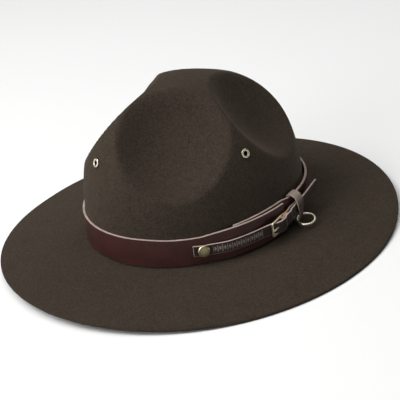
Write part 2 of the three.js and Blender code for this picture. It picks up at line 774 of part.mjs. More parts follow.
function tabStations() {
  const curve = new THREE.CatmullRomCurve3(tabPath());
  return Array.from({ length: TAB_STEPS + 1 }, (_, i) => {
    const share = i / TAB_STEPS;
    const point = curve.getPointAt(share);
    const tangent = curve.getTangentAt(share);
    const narrow = THREE.MathUtils.smoothstep(share, TAB_NARROWING.from, TAB_NARROWING.to);
    const axis = tabAlong.clone().applyAxisAngle(tabOut, tabSlant * narrow);
    const side = tangent.clone().cross(axis).normalize();
    const across = side.clone().cross(tangent).normalize();
    const half = THREE.MathUtils.lerp(TAB_WIDTH, TAB_FOOT_WIDTH, narrow) / 2;
    const inner = point.clone().addScaledVector(side, -TAB_LEATHER / 2);
    const outer = point.clone().addScaledVector(side, TAB_LEATHER / 2);
    return [
      inner.clone().addScaledVector(across, -half),
      outer.clone().addScaledVector(across, -half),
      outer.clone().addScaledVector(across, half),
      inner.clone().addScaledVector(across, half),
    ];
  });
}

// The ring is held out over the brim by the tab's fold, and drops a little towards its rim
function ringMatrix() {
  const drop = radians(RING_DROP);
  const wireAxis = tabAlong.clone().applyAxisAngle(tabOut, tabSlant);
  const outAxis = tabOut.clone().applyAxisAngle(wireAxis, drop);
  const normal = outAxis.clone().cross(wireAxis);
  const centre = tabPoint(ringEdgeOut, ringEdgeUp).addScaledVector(outAxis, RING_RADIUS);
  return new THREE.Matrix4().makeBasis(outAxis, wireAxis, normal).setPosition(centre);
}

function material(color, roughness, metalness) {
  return new THREE.MeshStandardMaterial({ color, roughness, metalness });
}

function addMesh(parent, name, geometry, look) {
  const mesh = new THREE.Mesh(geometry, look);
  mesh.name = name;
  parent.add(mesh);
  return mesh;
}

function addInFrame(parent, name, geometry, look, matrix) {
  const mesh = addMesh(parent, name, geometry, look);
  matrix.decompose(mesh.position, mesh.quaternion, mesh.scale);
  return mesh;
}

function makeFeltBody(hat, look) {
  const clearHole = EYELET_HOLE / 2 + EYELET_SHEET + SEAT_GAP;
  const holes = EYELETS.map((eyelet) => {
    const seat = eyeletSeat(eyelet);
    return cylinderAt(clearHole, FELT * 6, seat.point, seat.facing);
  });
  addMesh(hat, 'felt_body', cut(feltShell(), holes), look);
}

function makeEyelets(hat, look) {
  EYELETS.forEach((eyelet) => {
    const seat = eyeletSeat(eyelet);
    const mesh = addMesh(hat, `eyelet_${eyelet.side}`, eyeletGeometry(), look);
    place(mesh, seat.point, seat.facing);
  });
}

// Where the stud goes through both leathers, at the strap's middle height
const studAngle = radians(STUD_TURN);
const studOut = outward(studAngle);
const studStandoff = strapStandoff(BILLET_ROWS, STUD_TURN) + STRAP_LEATHER;
const studHeight = STRAP_HEIGHT + follow(BILLET_ROWS, 'rise', STUD_TURN) * STRAP_WIDTH;
const studPoint = wallPoint(studAngle, BAND_FOOT, studStandoff + SEAT_GAP).setZ(studHeight);

function studHole() {
  return cylinderAt(STUD_POST / 2 + SEAT_GAP, STUD_HOLE_DEPTH, studPoint, studOut);
}

function makeStud(hat, look) {
  const radius = STUD_HEAD / 2;
  const post = STUD_POST / 2;
  const deep = -(studStandoff - SEAT_GAP);
  const profile = [
    [0, deep],
    [post, deep],
    [post, 0],
    ...STUD_FACE.map((row) => [radius * row.radius, STUD_HEAD_DEPTH * row.out]),
  ];
  const stud = addMesh(hat, 'band_stud', lathe(profile, STUD_SIDES), look);
  place(stud, studPoint, studOut);
}

function makeStraps(hat, bandLook, strapLook) {
  addMesh(hat, 'hat_band', cut(ribbon(bandStations()), [studHole()]), bandLook);
  const billet = ribbon(strapStations(strapPath(BILLET_ROWS)));
  const prongPath = prongTube(PRONG_WIRE / 2 + SEAT_GAP);
  prongPath.applyMatrix4(buckleFrameMatrix());
  addMesh(hat, 'billet_strap', cut(billet, [studHole(), prongPath]), strapLook);
  addMesh(hat, 'buckle_strap', cut(buckleStrap(), [prongSlot()]), strapLook);
  addMesh(hat, 'ring_tab', ribbon(tabStations()), strapLook);
}

function makeBrass(hat, look) {
  addInFrame(hat, 'buckle_frame', buckleFrame(), look, buckleFrameMatrix());
  addInFrame(hat, 'buckle_prong', prongGeometry(), look, buckleFrameMatrix());
  const ring = new THREE.TorusGeometry(RING_RADIUS, RING_WIRE / 2, RING_SIDES, RING_STEPS);
  addInFrame(hat, 'band_ring', ring, look, ringMatrix());
  makeStud(hat, look);
}

const hat = new THREE.Group();
const felt = material(FELT_BROWN, 0.95, 0);
const bandLeather = material(BAND_OXBLOOD, 0.45, 0);
const strapLeather = material(STRAP_BROWN, 0.5, 0);
const brass = material(BRASS, 0.38, 1);
makeFeltBody(hat, felt);
makeEyelets(hat, brass);
makeStraps(hat, bandLeather, strapLeather);
makeBrass(hat, brass);

export default hat;
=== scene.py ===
"""Looks of the campaign hat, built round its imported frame.

Shapes are worked out in millimetres and turned into metres when a mesh is made. The
front of the hat faces -Y, the wearer's left is +X, and the hat rests on Z = 0.
"""

import math

import bmesh
import bpy
import numpy as np
from mathutils import Matrix

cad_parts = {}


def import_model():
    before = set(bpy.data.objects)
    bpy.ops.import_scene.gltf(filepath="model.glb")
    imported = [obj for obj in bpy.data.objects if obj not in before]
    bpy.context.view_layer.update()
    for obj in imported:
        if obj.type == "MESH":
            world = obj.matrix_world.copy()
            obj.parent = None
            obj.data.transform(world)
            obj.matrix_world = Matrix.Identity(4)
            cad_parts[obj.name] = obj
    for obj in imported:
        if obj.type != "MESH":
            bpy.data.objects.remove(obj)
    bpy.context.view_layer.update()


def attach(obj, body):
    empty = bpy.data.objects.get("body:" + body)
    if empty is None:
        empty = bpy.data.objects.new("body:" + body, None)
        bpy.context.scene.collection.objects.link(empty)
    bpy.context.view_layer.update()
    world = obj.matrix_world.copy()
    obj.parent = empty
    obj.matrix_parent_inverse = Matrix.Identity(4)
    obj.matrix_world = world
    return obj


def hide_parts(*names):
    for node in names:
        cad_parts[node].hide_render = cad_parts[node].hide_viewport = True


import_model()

MM = 0.001
UP = np.array([0.0, 0.0, 1.0])

# The named sizes of the solids. Lengths are in millimetres and turns in degrees, from the
# front of the hat towards the wearer's left.
CROWN_HALF_LENGTH = 101.2
CROWN_HALF_WIDTH = 86.6
CROWN_HEIGHT = 130.6
CROWN_LEAN = 3.3
LEAN_START = 0.3
LEAN_CURVE = 1.5
FRONT_FULLNESS = 0.04
FELT = 2.5
BRIM_WIDTH = 81.2
BRIM_RISE = 12.5
BRIM_LIFT = 7.4
BRIM_CURVE = 1.3
BRIM_LIFT_CURVE = 1.6
REST_SINK = 1.0
REST_CURVE = 4
JOINT_RADIUS = 2.0
DENT_ROUNDNESS = 100.0
CORE_LEAN = 0.4
CORE_HEIGHT = 0.345
# How full the crown's profile is, as exponents of its height and of its reach
FRONT = dict(climb=2.95, reach=3.12)
REAR = dict(climb=3.16, reach=1.86)
SIDE = dict(climb=2.47, reach=2.43)
# Height and tall are shares of CROWN_HEIGHT, reach, width and depth of CROWN_HALF_WIDTH
DENTS = (
    dict(turn=52.6, height=0.702, reach=0.688, tilt=44.5,
         width=0.467, tall=0.358, depth=0.15, blend=12),
    dict(turn=128.0, height=0.7, reach=0.687, tilt=43.5,
         width=0.445, tall=0.37, depth=0.14, blend=8),
)

# Side, turn, height above the floor
EYELETS = (
    ("front", -3.0, 97.4),
    ("left", 92.6, 95.4),
    ("rear", 180.0, 96.4),
    ("right", -92.6, 95.4),
)
EYELET_HOLE = 4.2
EYELET_FLANGE = 7.8
EYELET_COLLAR = 6.6
EYELET_SHEET = 0.5
EYELET_DOME = 0.9

SEAT_GAP = 0.3
BAND_LEATHER = 2.0
BAND_WIDTH = 26.0
BAND_CLEAR = 1.9
STRAP_LEATHER = 1.6
STRAP_WIDTH = 9.6
STRAP_HEIGHT = 30.0
TAB_LEATHER = 1.2
TAB_WIDTH = 10.0
TAB_FOOT_WIDTH = 6.4
TAB_TURN = 115.4
TAB_SLANT = 10.0
TAB_CLEAR = 1.9
# The tab narrows between these shares of its length
TAB_NARROW_FROM = 0.35
TAB_NARROW_TO = 0.7

STUD_TURN = 60.7
STUD_HEAD = 10.5
STUD_HEAD_DEPTH = 1.9
STUD_POST = 4.0
BUCKLE_TURN = 101.9
BUCKLE_LENGTH = 15.2
BUCKLE_BAR = 1.6
BUCKLE_TILT = 12.0
BUCKLE_CORNER = 1.4
PRONG_WIRE = 1.5
RING_RADIUS = 7.5
RING_WIRE = 2.1
RING_DROP = 6.3

BRIM_TOP = BRIM_RISE + FELT
BAND_FOOT = BRIM_TOP + BAND_CLEAR
BUCKLE_HEIGHT = STRAP_WIDTH + 2 * (BUCKLE_BAR + SEAT_GAP)

# The band from its inner end to its outer end. Lean, rise and top are shares of its width:
# turn, layers below, lean, rise, top
BAND_LAYERS, BAND_LEAN, BAND_RISE, BAND_TOP = 1, 2, 3, 4
BAND_ROWS = (
    (77, 0, 0, 0.015, 0), (92, 0, 0, 0.045, 0), (104, 0, 0, 0.05, 0), (107.6, 0, 0.01, 0.048, 0),
    (112, 0, 0.084, 0.034, 0), (122, 0, 0.095, 0.01, 0), (131, 0, 0.1, 0, 0), (142, 0, 0.08, 0, 0),
    (152, 0, 0.04, 0, 0), (163, 0, 0, 0, 0), (200, 0, 0, 0, -0.04), (390, 0, 0, 0, -0.04),
    (407, 0, 0, 0, -0.08), (419, 0, 0, 0, -0.09), (424, 0, 0, 0, -0.07), (436, 1, 0, 0, 0),
    (452, 1, 0, -0.005, 0), (467.3, 1, 0.005, -0.016, 0),
)
# The straps. Bow and rise are shares of their width:
# turn, bands below, straps below, bow, rise
STRAP_BANDS, STRAP_STRAPS, STRAP_BOW, STRAP_RISE = 1, 2, 3, 4
BILLET_ROWS = (
    (55.8, 1, 0, 0, -0.03), (60.7, 1, 0, 0, -0.115), (63, 1, 0, 0, -0.125),
    (74, 2, 0, 0.02, -0.13), (88, 2, 0, 0.06, -0.1),
    (93.6, 2, 0, 0.19, -0.06), (95.2, 2, 0, 0.3, -0.04), (97.4, 2, 0, 0.6, -0.01),
    (99.6, 2, 2, 0.28, 0),
    (102.2, 2, 2, 0.22, 0), (104.5, 2, 2, 0.04, 0.06), (107.5, 2, 2, 0.02, 0.12),
    (110.5, 1, 2, 0.1, 0.17), (115, 1, 1, 0.24, 0.24), (122, 1, 1, 0.3, 0.32),
    (131, 1, 1, 0.46, 0.42), (137, 1, 1, 0.7, 0.49),
)
BUCKLE_STRAP_INNER = (
    (117, 1, 0, 0.19, 0.2), (111.5, 1, 0, 0.19, 0.155), (107.6, 2, 0, 0.02, 0.05),
    (BUCKLE_TURN, 2, 0, 0, 0),
)
BUCKLE_STRAP_OUTER = (
    (BUCKLE_TURN, 2, 1, 0.21, 0), (104.4, 2, 1, 0.02, 0.02), (106.6, 2, 1, 0.02, 0.04),
)
# The tab's middle line. Out is a share of STRAP_WIDTH and up of BAND_WIDTH:
# out, up
TAB_ROWS = (
    (0.05, 0.87), (0.055, 0.99), (0.18, 1.05), (0.38, 1.066), (0.62, 1.05), (0.86, 0.99),
    (1.01, 0.88), (1.06, 0.74), (1.05, 0.55), (1.01, 0.38), (0.9, 0.23),
)
# The prong's middle line. Along is a share of BUCKLE_LENGTH, out of its height over a bar:
# along, out
PRONG_ROWS = ((0.23, 0.32), (0.42, 0.75), (0.72, 1.02), (1.074, 1.02))

# Sizes of the looks alone
RIM_ROUND = 0.9
BAND_STEP = 1.1
BILLET_STEP = 0.45
BUCKLE_STRAP_STEP = 0.8
CRISP_LEATHER = math.radians(50)
CRISP_BRASS = math.radians(40)
END_ROUNDING = 0.8
FLOOR_RADIUS = 1700
FLOOR_DROP = 0.1

# The camera, fitted to the photo: turn, climb and roll in degrees, distance in metres, and
# focal length and principal point in pixels of its 400 pixel square
CAMERA_TURN, CAMERA_CLIMB, CAMERA_ROLL = 57.604, 25.302, -7.472
CAMERA_DISTANCE = 1.2
CAMERA_TARGET = (0, 0, 0.065)
FOCAL, MIDDLE_X, MIDDLE_Y = 1372.9, 192.26, 162.45
PHOTO = 400
SENSOR = 36

# Name, turn, climb, distance, size, power
LIGHTS = (
    ("key", -14, 50, 2.2, 1.6, 41),
    ("low", 13, 22, 2.4, 1.2, 18),
    ("top", 0, 88, 2.2, 1.8, 22),
    ("back", 195, 50, 2.2, 1.4, 9),
)
RANGE_KEYS = ("From Min", "From Max", "To Min", "To Max")


# The formulas that the solids follow
def unit(v):
    """Vectors at length one."""
    return v / np.linalg.norm(v, axis=-1, keepdims=True)


def turned(v, axis, angle):
    """A vector turned round an axis."""
    return (
        v * math.cos(angle)
        + np.cross(axis, v) * math.sin(angle)
        + axis * np.dot(axis, v) * (1 - math.cos(angle))
    )


def follow(rows, column, turn):
    """One column of a table at a turn between its rows, smooth and without overshoot."""
    table = sorted(rows, key=lambda row: row[0])
    x = [row[0] for row in table]
    y = [row[column] for row in table]
    last = len(x) - 2
    at = next((i for i in range(last + 1) if turn <= x[i + 1]), last)

    def slope(i):
        return (y[i + 1] - y[i]) / (x[i + 1] - x[i])

    def tangent(i):
        if i == 0:
            return slope(0)
        if i == len(x) - 1:
            return slope(last)
        before, after = slope(i - 1), slope(i)
        return 2 * before * after / (before + after) if before * after > 0 else 0

    span = x[at + 1] - x[at]
    t = min(1, max(0, (turn - x[at]) / span))
    rise = t * t * (3 - 2 * t)
    leave = t * (1 - t) * (1 - t) * span
    arrive = t * t * (t - 1) * span
    return y[at] + (y[at + 1] - y[at]) * rise + tangent(at) * leave + tangent(at + 1) * arrive


def profile_at(angle):
    """The crown's profile exponents at a turn, blended between front, side and rear."""
    along = np.cos(angle)
    share = along * along
    climb = np.where(along > 0, FRONT["climb"], REAR["climb"]) * share
    reach = np.where(along > 0, FRONT["reach"], REAR["reach"]) * share
    return climb + SIDE["climb"] * (1 - share), reach + SIDE["reach"] * (1 - share)


def oval(angle, reach, spread, fullness):
    """Points of the hat's oval, scaled by reach and widened by spread."""
    x = (CROWN_HALF_WIDTH * reach + spread) * np.sin(angle) * (1 + fullness * np.cos(angle))
    y = -(CROWN_HALF_LENGTH * reach + spread) * np.cos(angle)
    return np.stack([x, y, np.zeros_like(x)], -1)


def outward(angle):
    """The level direction away from the crown's base oval."""
    step = 0.001
    after = oval(np.float64(angle + step), 1, 0, FRONT_FULLNESS)
    before = oval(np.float64(angle - step), 1, 0, FRONT_FULLNESS)
    return unit(np.cross(after - before, UP))


def wall(angle, height, standoff):
    """A point at a height that stands off the crown's wall, below the dents."""
    climb, reach = profile_at(np.float64(angle))
    share = max(0.0, height - BRIM_TOP) / CROWN_HEIGHT
    point = oval(np.float64(angle), (1 - share**climb) ** (1 / reach), 0, FRONT_FULLNESS)
    point = point + outward(angle) * standoff
    point[2] = height
    return point


def lean_at(height):
    """How far the crown leans back at a height above the brim."""
    start = LEAN_START * CROWN_HEIGHT
    share = np.maximum(0, (height - start) / (CROWN_HEIGHT - start))
    return CROWN_LEAN * share**LEAN_CURVE


def make_dent(row, side):
    """A shallow ellipsoid pressed in from outside: centre, axes, radii and blend."""
    angle = math.radians(row["turn"]) * side
    height = row["height"] * CROWN_HEIGHT
    depth = row["depth"] * CROWN_HALF_WIDTH
    level = unit(oval(np.float64(angle), 1, 0, 0))
    tilt = math.radians(row["tilt"])
    out = level * math.cos(tilt) + UP * math.sin(tilt)
    across = unit(np.cross(UP, level))
    middle = level * row["reach"] * CROWN_HALF_WIDTH
    middle = middle + np.array([0, lean_at(height), BRIM_TOP + height])
    rim = math.sqrt(1 - ((DENT_ROUNDNESS - depth) / DENT_ROUNDNESS) ** 2)
    radii = np.array([
        DENT_ROUNDNESS,
        row["width"] * CROWN_HALF_WIDTH / rim,
        row["tall"] * CROWN_HEIGHT / rim,
    ])
    axes = np.array([out, across, np.cross(out, across)])
    return middle + out * (DENT_ROUNDNESS - depth), axes, radii, row["blend"]


DENT_BODIES = [make_dent(row, side) for row in DENTS for side in (1, -1)]
CROWN_CORE = np.array([0, CORE_LEAN * CROWN_LEAN, BRIM_TOP + CORE_HEIGHT * CROWN_HEIGHT])


def dent_distance(centre, axes, radii, ray):
    """How far rays from the crown's core run before they meet a dent."""
    start = axes @ (CROWN_CORE - centre) / radii
    along = (ray @ axes.T) / radii
    a = (along**2).sum(-1)
    b = (along * start).sum(-1)
    c = (start**2).sum() - 1
    root = b * b - a * c
    nearer = (-b - np.sqrt(np.maximum(root, 0))) / a
    return np.where((root > 0) & (nearer > 0), nearer, 1e6)


def blend_nearer(far, near, blend):
    """The nearer of two distances, rounded over where they are about the same."""
    share = np.clip(0.5 + 0.5 * (near - far) / blend, 0, 1)
    mixed = near * (1 - share) + far * share - blend * share * (1 - share)
    return np.where(near > far + blend, far, mixed)


def crown(angle, climb):
    """The crown's outer skin at a turn from the front and a climb from brim to peak."""
    climb_power, reach_power = profile_at(angle)
    height = CROWN_HEIGHT * np.sin(climb) ** (2 / climb_power)
    reach = np.maximum(0, np.cos(climb)) ** (2 / reach_power)
    point = oval(angle, reach, 0, FRONT_FULLNESS)
    point[..., 1] += lean_at(height)
    point[..., 2] = BRIM_TOP + height
    ray = point - CROWN_CORE
    distance = np.linalg.norm(ray, axis=-1)
    ray = ray / distance[..., None]
    for centre, axes, radii, blend in DENT_BODIES:
        distance = blend_nearer(distance, dent_distance(centre, axes, radii, ray), blend)
    return CROWN_CORE + ray * distance[..., None]


def brim_underside(angle, share):
    """The height of the brim's underside, which lies flat where its side edges rest."""
    slope = BRIM_RISE * (1 - share**BRIM_CURVE)
    lift = BRIM_LIFT * np.cos(angle) ** 2 * share**BRIM_LIFT_CURVE
    return np.maximum(0, slope + lift - REST_SINK * share**REST_CURVE)


def eyelet_seat(turn, height):
    """The point of the crown at an eyelet's height, and the way it faces there."""
    angle = np.float64(math.radians(turn))
    low, high = 0.0, math.pi / 2
    for _ in range(30):
        middle = (low + high) / 2
        if crown(angle, np.float64(middle))[2] < height:
            low = middle
        else:
            high = middle
    step = 0.05
    aside = crown(angle + step, np.float64(low)) - crown(angle - step, np.float64(low))
    above = crown(angle, np.float64(low + step)) - crown(angle, np.float64(low - step))
    return crown(angle, np.float64(low)), unit(np.cross(aside, above))


# Meshes
def finish_mesh(name, points, faces, kinds, materials, values=None):
    """An object with smooth faces. Values are marks of its points that its look reads."""
    mesh = bpy.data.meshes.new(name)
    mesh.from_pydata((np.asarray(points) * MM).tolist(), [], faces)
    for item in materials:
        mesh.materials.append(item)
    mesh.polygons.foreach_set("material_index", kinds)
    mesh.polygons.foreach_set("use_smooth", [True] * len(faces))
    for key, column in (values or {}).items():
        layer = mesh.attributes.new(key, "FLOAT", "POINT")
        layer.data.foreach_set("value", np.asarray(column, dtype=np.float32))
    edit = bmesh.new()
    edit.from_mesh(mesh)
    bmesh.ops.recalc_face_normals(edit, faces=edit.faces)
    edit.to_mesh(mesh)
    edit.free()
    mesh.update()
    thing = bpy.data.objects.new(name, mesh)
    bpy.context.scene.collection.objects.link(thing)
    return thing


def skin(name, loops, materials, kind=None, caps=None, closed=False, values=None):
    """A closed surface through loops of equally many points, with its ends fanned shut."""
    count = len(loops[0])
    points = [p for loop in loops for p in loop]
    value = {key: list(np.ravel(column)) for key, column in (values or {}).items()}
    faces, kinds = [], []
    spans = len(loops) if closed else len(loops) - 1
    for i in range(spans):
        a = i * count
        b = ((i + 1) % len(loops)) * count
        for j in range(count):
            k = (j + 1) % count
            faces.append((a + j, a + k, b + k, b + j))
            kinds.append(kind(i, j) if kind else 0)
    if not closed:
        ends = ((0, caps[0] if caps else np.mean(loops[0], 0)),
                ((len(loops) - 1) * count, caps[1] if caps else np.mean(loops[-1], 0)))
        for base, middle in ends:
            tip = len(points)
            points.append(middle)
            for column in value.values():
                column.append(column[base])
            for j in range(count):
                faces.append((base + j, base + (j + 1) % count, tip))
                kinds.append(kind(-1, j) if kind else 0)
    return finish_mesh(name, points, faces, kinds, materials, value)


def sharpen(thing, angle):
    """Marks the edges that turn by more than an angle, so that they stay crisp."""
    edit = bmesh.new()
    edit.from_mesh(thing.data)
    for edge in edit.edges:
        if len(edge.link_faces) == 2 and edge.calc_face_angle(0) > angle:
            edge.smooth = False
    edit.to_mesh(thing.data)
    edit.free()


def combine(thing, others, operation):
    """Adds other pieces to a piece or takes them out of it, and removes them."""
    for other in others:
        modifier = thing.modifiers.new("combine", "BOOLEAN")
        modifier.object = other
        modifier.operation = operation
        modifier.solver = "EXACT"
    graph = bpy.context.evaluated_depsgraph_get()
    mesh = bpy.data.meshes.new_from_object(thing.evaluated_get(graph))
    thing.modifiers.clear()
    old = thing.data
    thing.data = mesh
    mesh.name = thing.name
    bpy.data.meshes.remove(old)
    for other in others:
        mesh = other.data
        bpy.data.objects.remove(other)
        bpy.data.meshes.remove(mesh)


def cut(thing, cutters, kind):
    """Takes the cutters out of a piece. The walls of the cuts get the piece's own material."""
    for cutter in cutters:
        cutter.data.materials.clear()
        for item in thing.data.materials:
            cutter.data.materials.append(item)
        for face in cutter.data.polygons:
            face.material_index = kind
    combine(thing, cutters, "DIFFERENCE")


def frame_of(axis):
    """Two directions square to an axis."""
    helper = UP if abs(axis[2]) < 0.9 else np.array([1.0, 0, 0])
    first = unit(np.cross(helper, axis))
    return first, np.cross(axis, first)


def lathe_loops(profile, origin, axis, sides):
    """Rings round an axis, from a profile of radius and height."""
    first, second = frame_of(axis)
    turns = np.linspace(0, 2 * math.pi, sides, endpoint=False)
    spokes = np.cos(turns)[:, None] * first + np.sin(turns)[:, None] * second
    return [origin + spokes * radius + axis * height for radius, height in profile]


def rod(name, radius, start, end, sides=32):
    """A round bar between two points, to cut holes with."""
    axis = unit(end - start)
    length = np.linalg.norm(end - start)
    return skin(name, lathe_loops([(radius, 0), (radius, length)], start, axis, sides), [])


def tube_loops(path, radii, sides):
    """Round sections along a path, kept from twisting."""
    path = np.asarray(path)
    tangents = unit(np.gradient(path, axis=0))
    first, _ = frame_of(tangents[0])
    turns = np.linspace(0, 2 * math.pi, sides, endpoint=False)
    loops = []
    for i, point in enumerate(path):
        first = unit(first - tangents[i] * np.dot(first, tangents[i]))
        second = np.cross(tangents[i], first)
        ring = np.cos(turns)[:, None] * first + np.sin(turns)[:, None] * second
        loops.append(point + ring * radii[i])
    return loops


def spline(points, count):
    """Points at even distances along a smooth curve through the given ones."""
    p = np.asarray(points, float)
    p = np.vstack([2 * p[0] - p[1], p, 2 * p[-1] - p[-2]])
    steps = np.maximum(np.linalg.norm(np.diff(p, axis=0), axis=1) ** 0.5, 1e-4)
    fine = []
    for i in range(1, len(p) - 2):
        d0, d1, d2 = steps[i - 1], steps[i], steps[i + 1]
        before, span, after = p[i] - p[i - 1], p[i + 1] - p[i], p[i + 2] - p[i + 1]
        t1 = (before / d0 - (p[i + 1] - p[i - 1]) / (d0 + d1) + span / d1) * d1
        t2 = (span / d1 - (p[i + 2] - p[i]) / (d1 + d2) + after / d2) * d1
        for t in np.linspace(0, 1, 40, endpoint=i == len(p) - 3):
            a = p[i]
            b = t1
            c = -3 * p[i] + 3 * p[i + 1] - 2 * t1 - t2
            d = 2 * p[i] - 2 * p[i + 1] + t1 + t2
            fine.append(a + b * t + c * t * t + d * t**3)
    fine = np.array(fine)
    length = np.concatenate([[0], np.cumsum(np.linalg.norm(np.diff(fine, axis=0), axis=1))])
    even = np.linspace(0, length[-1], count)
    return np.stack([np.interp(even, length, fine[:, k]) for k in range(3)], -1)


# A strip's section runs round its outer face, top edge, inner face and bottom edge
FACE, EDGE, BACK = 0, 1, 2


def section(thickness, width, radius, across):
    """The section of a strip with rounded edges, as shares of its thickness and width."""
    a, b = radius / thickness, radius / width
    near = 0.25 * b
    arc = [math.radians(30 * k) for k in range(4)]
    places, kinds = [], []

    def add(s, t, kind):
        places.append((s, t))
        kinds.append(kind)

    rows = np.linspace(b + 2 * near, 1 - b - 2 * near, across)
    for t in (b, b + near, *rows, 1 - b - near):
        add(1, t, FACE)
    for k in arc:
        add(1 - a + a * math.cos(k), 1 - b + b * math.sin(k), EDGE)
    for k in arc:
        add(a - a * math.sin(k), 1 - b + b * math.cos(k), EDGE)
    kinds[-1] = BACK
    for t in (1 - b - near, 0.75, 0.5, 0.25, b + near):
        add(0, t, BACK)
    for k in arc:
        add(a - a * math.cos(k), b - b * math.sin(k), EDGE)
    for k in arc[:-1]:
        add(1 - a + a * math.sin(k), b - b * math.cos(k), EDGE)
    return places, kinds


def strip(name, stations, thickness, width, materials, across, radius,
          relief=None, low_edge=EDGE):
    """A leather strip through stations of four corners, with rounded edges and ends.

    Relief gives, for a station's number, a share of the width and a look, how far the
    leather is raised and how strongly it is marked for wear and painted light. Low_edge is the look
    of the lower edge.
    """
    places, kinds = section(thickness, width, radius, across)
    kinds = [
        low_edge if kind == EDGE and t < 0.5 else kind for (_, t), kind in zip(places, kinds)
    ]
    stations = [np.asarray(corners) for corners in stations]

    def between(first, second):
        gap = np.linalg.norm(second.mean(0) - first.mean(0))
        return first + (second - first) * min(0.9, radius / gap)

    full = [stations[0]] + [between(stations[0], stations[1])] + stations[1:-1]
    full += [between(stations[-1], stations[-2]), stations[-1]]
    numbers = [0, 0] + list(range(1, len(stations) - 1)) + [len(stations) - 1] * 2
    loops, wear_and_painted_light = [], []
    for row, (corners, number) in enumerate(zip(full, numbers)):
        low_in, low_out, high_out, high_in = corners
        out = unit(low_out - low_in)
        loop, wear = [], []
        end = row in (0, len(full) - 1)
        for (s, t), kind in zip(places, kinds):
            if end:
                s = 0.5 + (s - 0.5) * (1 - 2 * radius / thickness * END_ROUNDING)
                t = 0.5 + (t - 0.5) * (1 - 2 * radius / width * END_ROUNDING)
            low = low_in + (low_out - low_in) * s
            high = high_in + (high_out - high_in) * s
            point = low + (high - low) * t
            height, mark = relief(number, t, kind) if relief and not end else (0, 0)
            loop.append(point + out * height)
            wear.append(mark)
        loops.append(np.array(loop))
        wear_and_painted_light.append(wear)

    def kind_at(i, j):
        return EDGE if i < 0 or i == 0 or i == len(full) - 2 else kinds[j]

    return skin(name, loops, materials, kind_at, values={"wear_and_painted_light": wear_and_painted_light})


# Materials
class Shader:
    """A material with a Principled shader, and short calls for the nodes that feed it."""

    def __init__(self, name, **fixed):
        self.material = bpy.data.materials.new(name)
        self.material.use_nodes = True
        self.tree = self.material.node_tree
        self.tree.nodes.clear()
        out = self.node("ShaderNodeOutputMaterial")
        self.main = self.node("ShaderNodeBsdfPrincipled")
        self.tree.links.new(self.main.outputs[0], out.inputs[0])
        self.place = self.node("ShaderNodeTexCoord").outputs["Object"]
        for key, value in fixed.items():
            self.main.inputs[key.replace("_", " ")].default_value = value

    def node(self, kind, **settings):
        made = self.tree.nodes.new(kind)
        for key, value in settings.items():
            setattr(made, key, value)
        return made

    def set(self, socket, value):
        """Links a socket to another one, or gives it a plain value."""
        if isinstance(value, bpy.types.NodeSocket):
            self.tree.links.new(value, socket)
        else:
            socket.default_value = value

    def noise(self, size, detail, roughness, distortion=0):
        """Noise with features of about size millimetres."""
        made = self.node("ShaderNodeTexNoise")
        made.inputs["Scale"].default_value = 1 / (size * MM)
        made.inputs["Detail"].default_value = detail
        made.inputs["Roughness"].default_value = roughness
        made.inputs["Distortion"].default_value = distortion
        self.set(made.inputs["Vector"], self.place)
        return made.outputs["Fac"]

    def cells(self, size):
        """Rounded cells of about size millimetres."""
        made = self.node("ShaderNodeTexVoronoi", feature="SMOOTH_F1")
        made.inputs["Scale"].default_value = 1 / (size * MM)
        self.set(made.inputs["Vector"], self.place)
        return made.outputs["Distance"]

    def span(self, value, low, high, to_low=0, to_high=1):
        """A value moved from one range to another and kept within it."""
        made = self.node("ShaderNodeMapRange")
        self.set(made.inputs["Value"], value)
        for key, number in zip(RANGE_KEYS, (low, high, to_low, to_high)):
            made.inputs[key].default_value = number
        return made.outputs[0]

    def maths(self, operation, a, b):
        made = self.node("ShaderNodeMath", operation=operation)
        self.set(made.inputs[0], a)
        self.set(made.inputs[1], b)
        return made.outputs[0]

    def mix(self, share, a, b):
        """Two colours mixed. The node's colour sockets are inputs 6 and 7 and output 2."""
        made = self.node("ShaderNodeMix", data_type="RGBA")
        self.set(made.inputs["Factor"], share)
        for socket, value in ((made.inputs[6], a), (made.inputs[7], b)):
            self.set(socket, value if isinstance(value, bpy.types.NodeSocket) else (*value, 1))
        return made.outputs[2]

    def mark(self, name):
        """A mark of the mesh's points."""
        return self.node("ShaderNodeAttribute", attribute_name=name).outputs["Fac"]

    def bump(self, height, depth, strength, under=None):
        """Relief of a depth in millimetres, over another relief."""
        made = self.node("ShaderNodeBump")
        made.inputs["Strength"].default_value = strength
        made.inputs["Distance"].default_value = depth * MM
        self.set(made.inputs["Height"], height)
        if under is not None:
            self.set(made.inputs["Normal"], under)
        return made.outputs[0]

    def use(self, **sockets):
        """Feeds the shader's sockets and gives the finished material."""
        for key, value in sockets.items():
            self.set(self.main.inputs[key.replace("_", " ")], value)
        return self.material


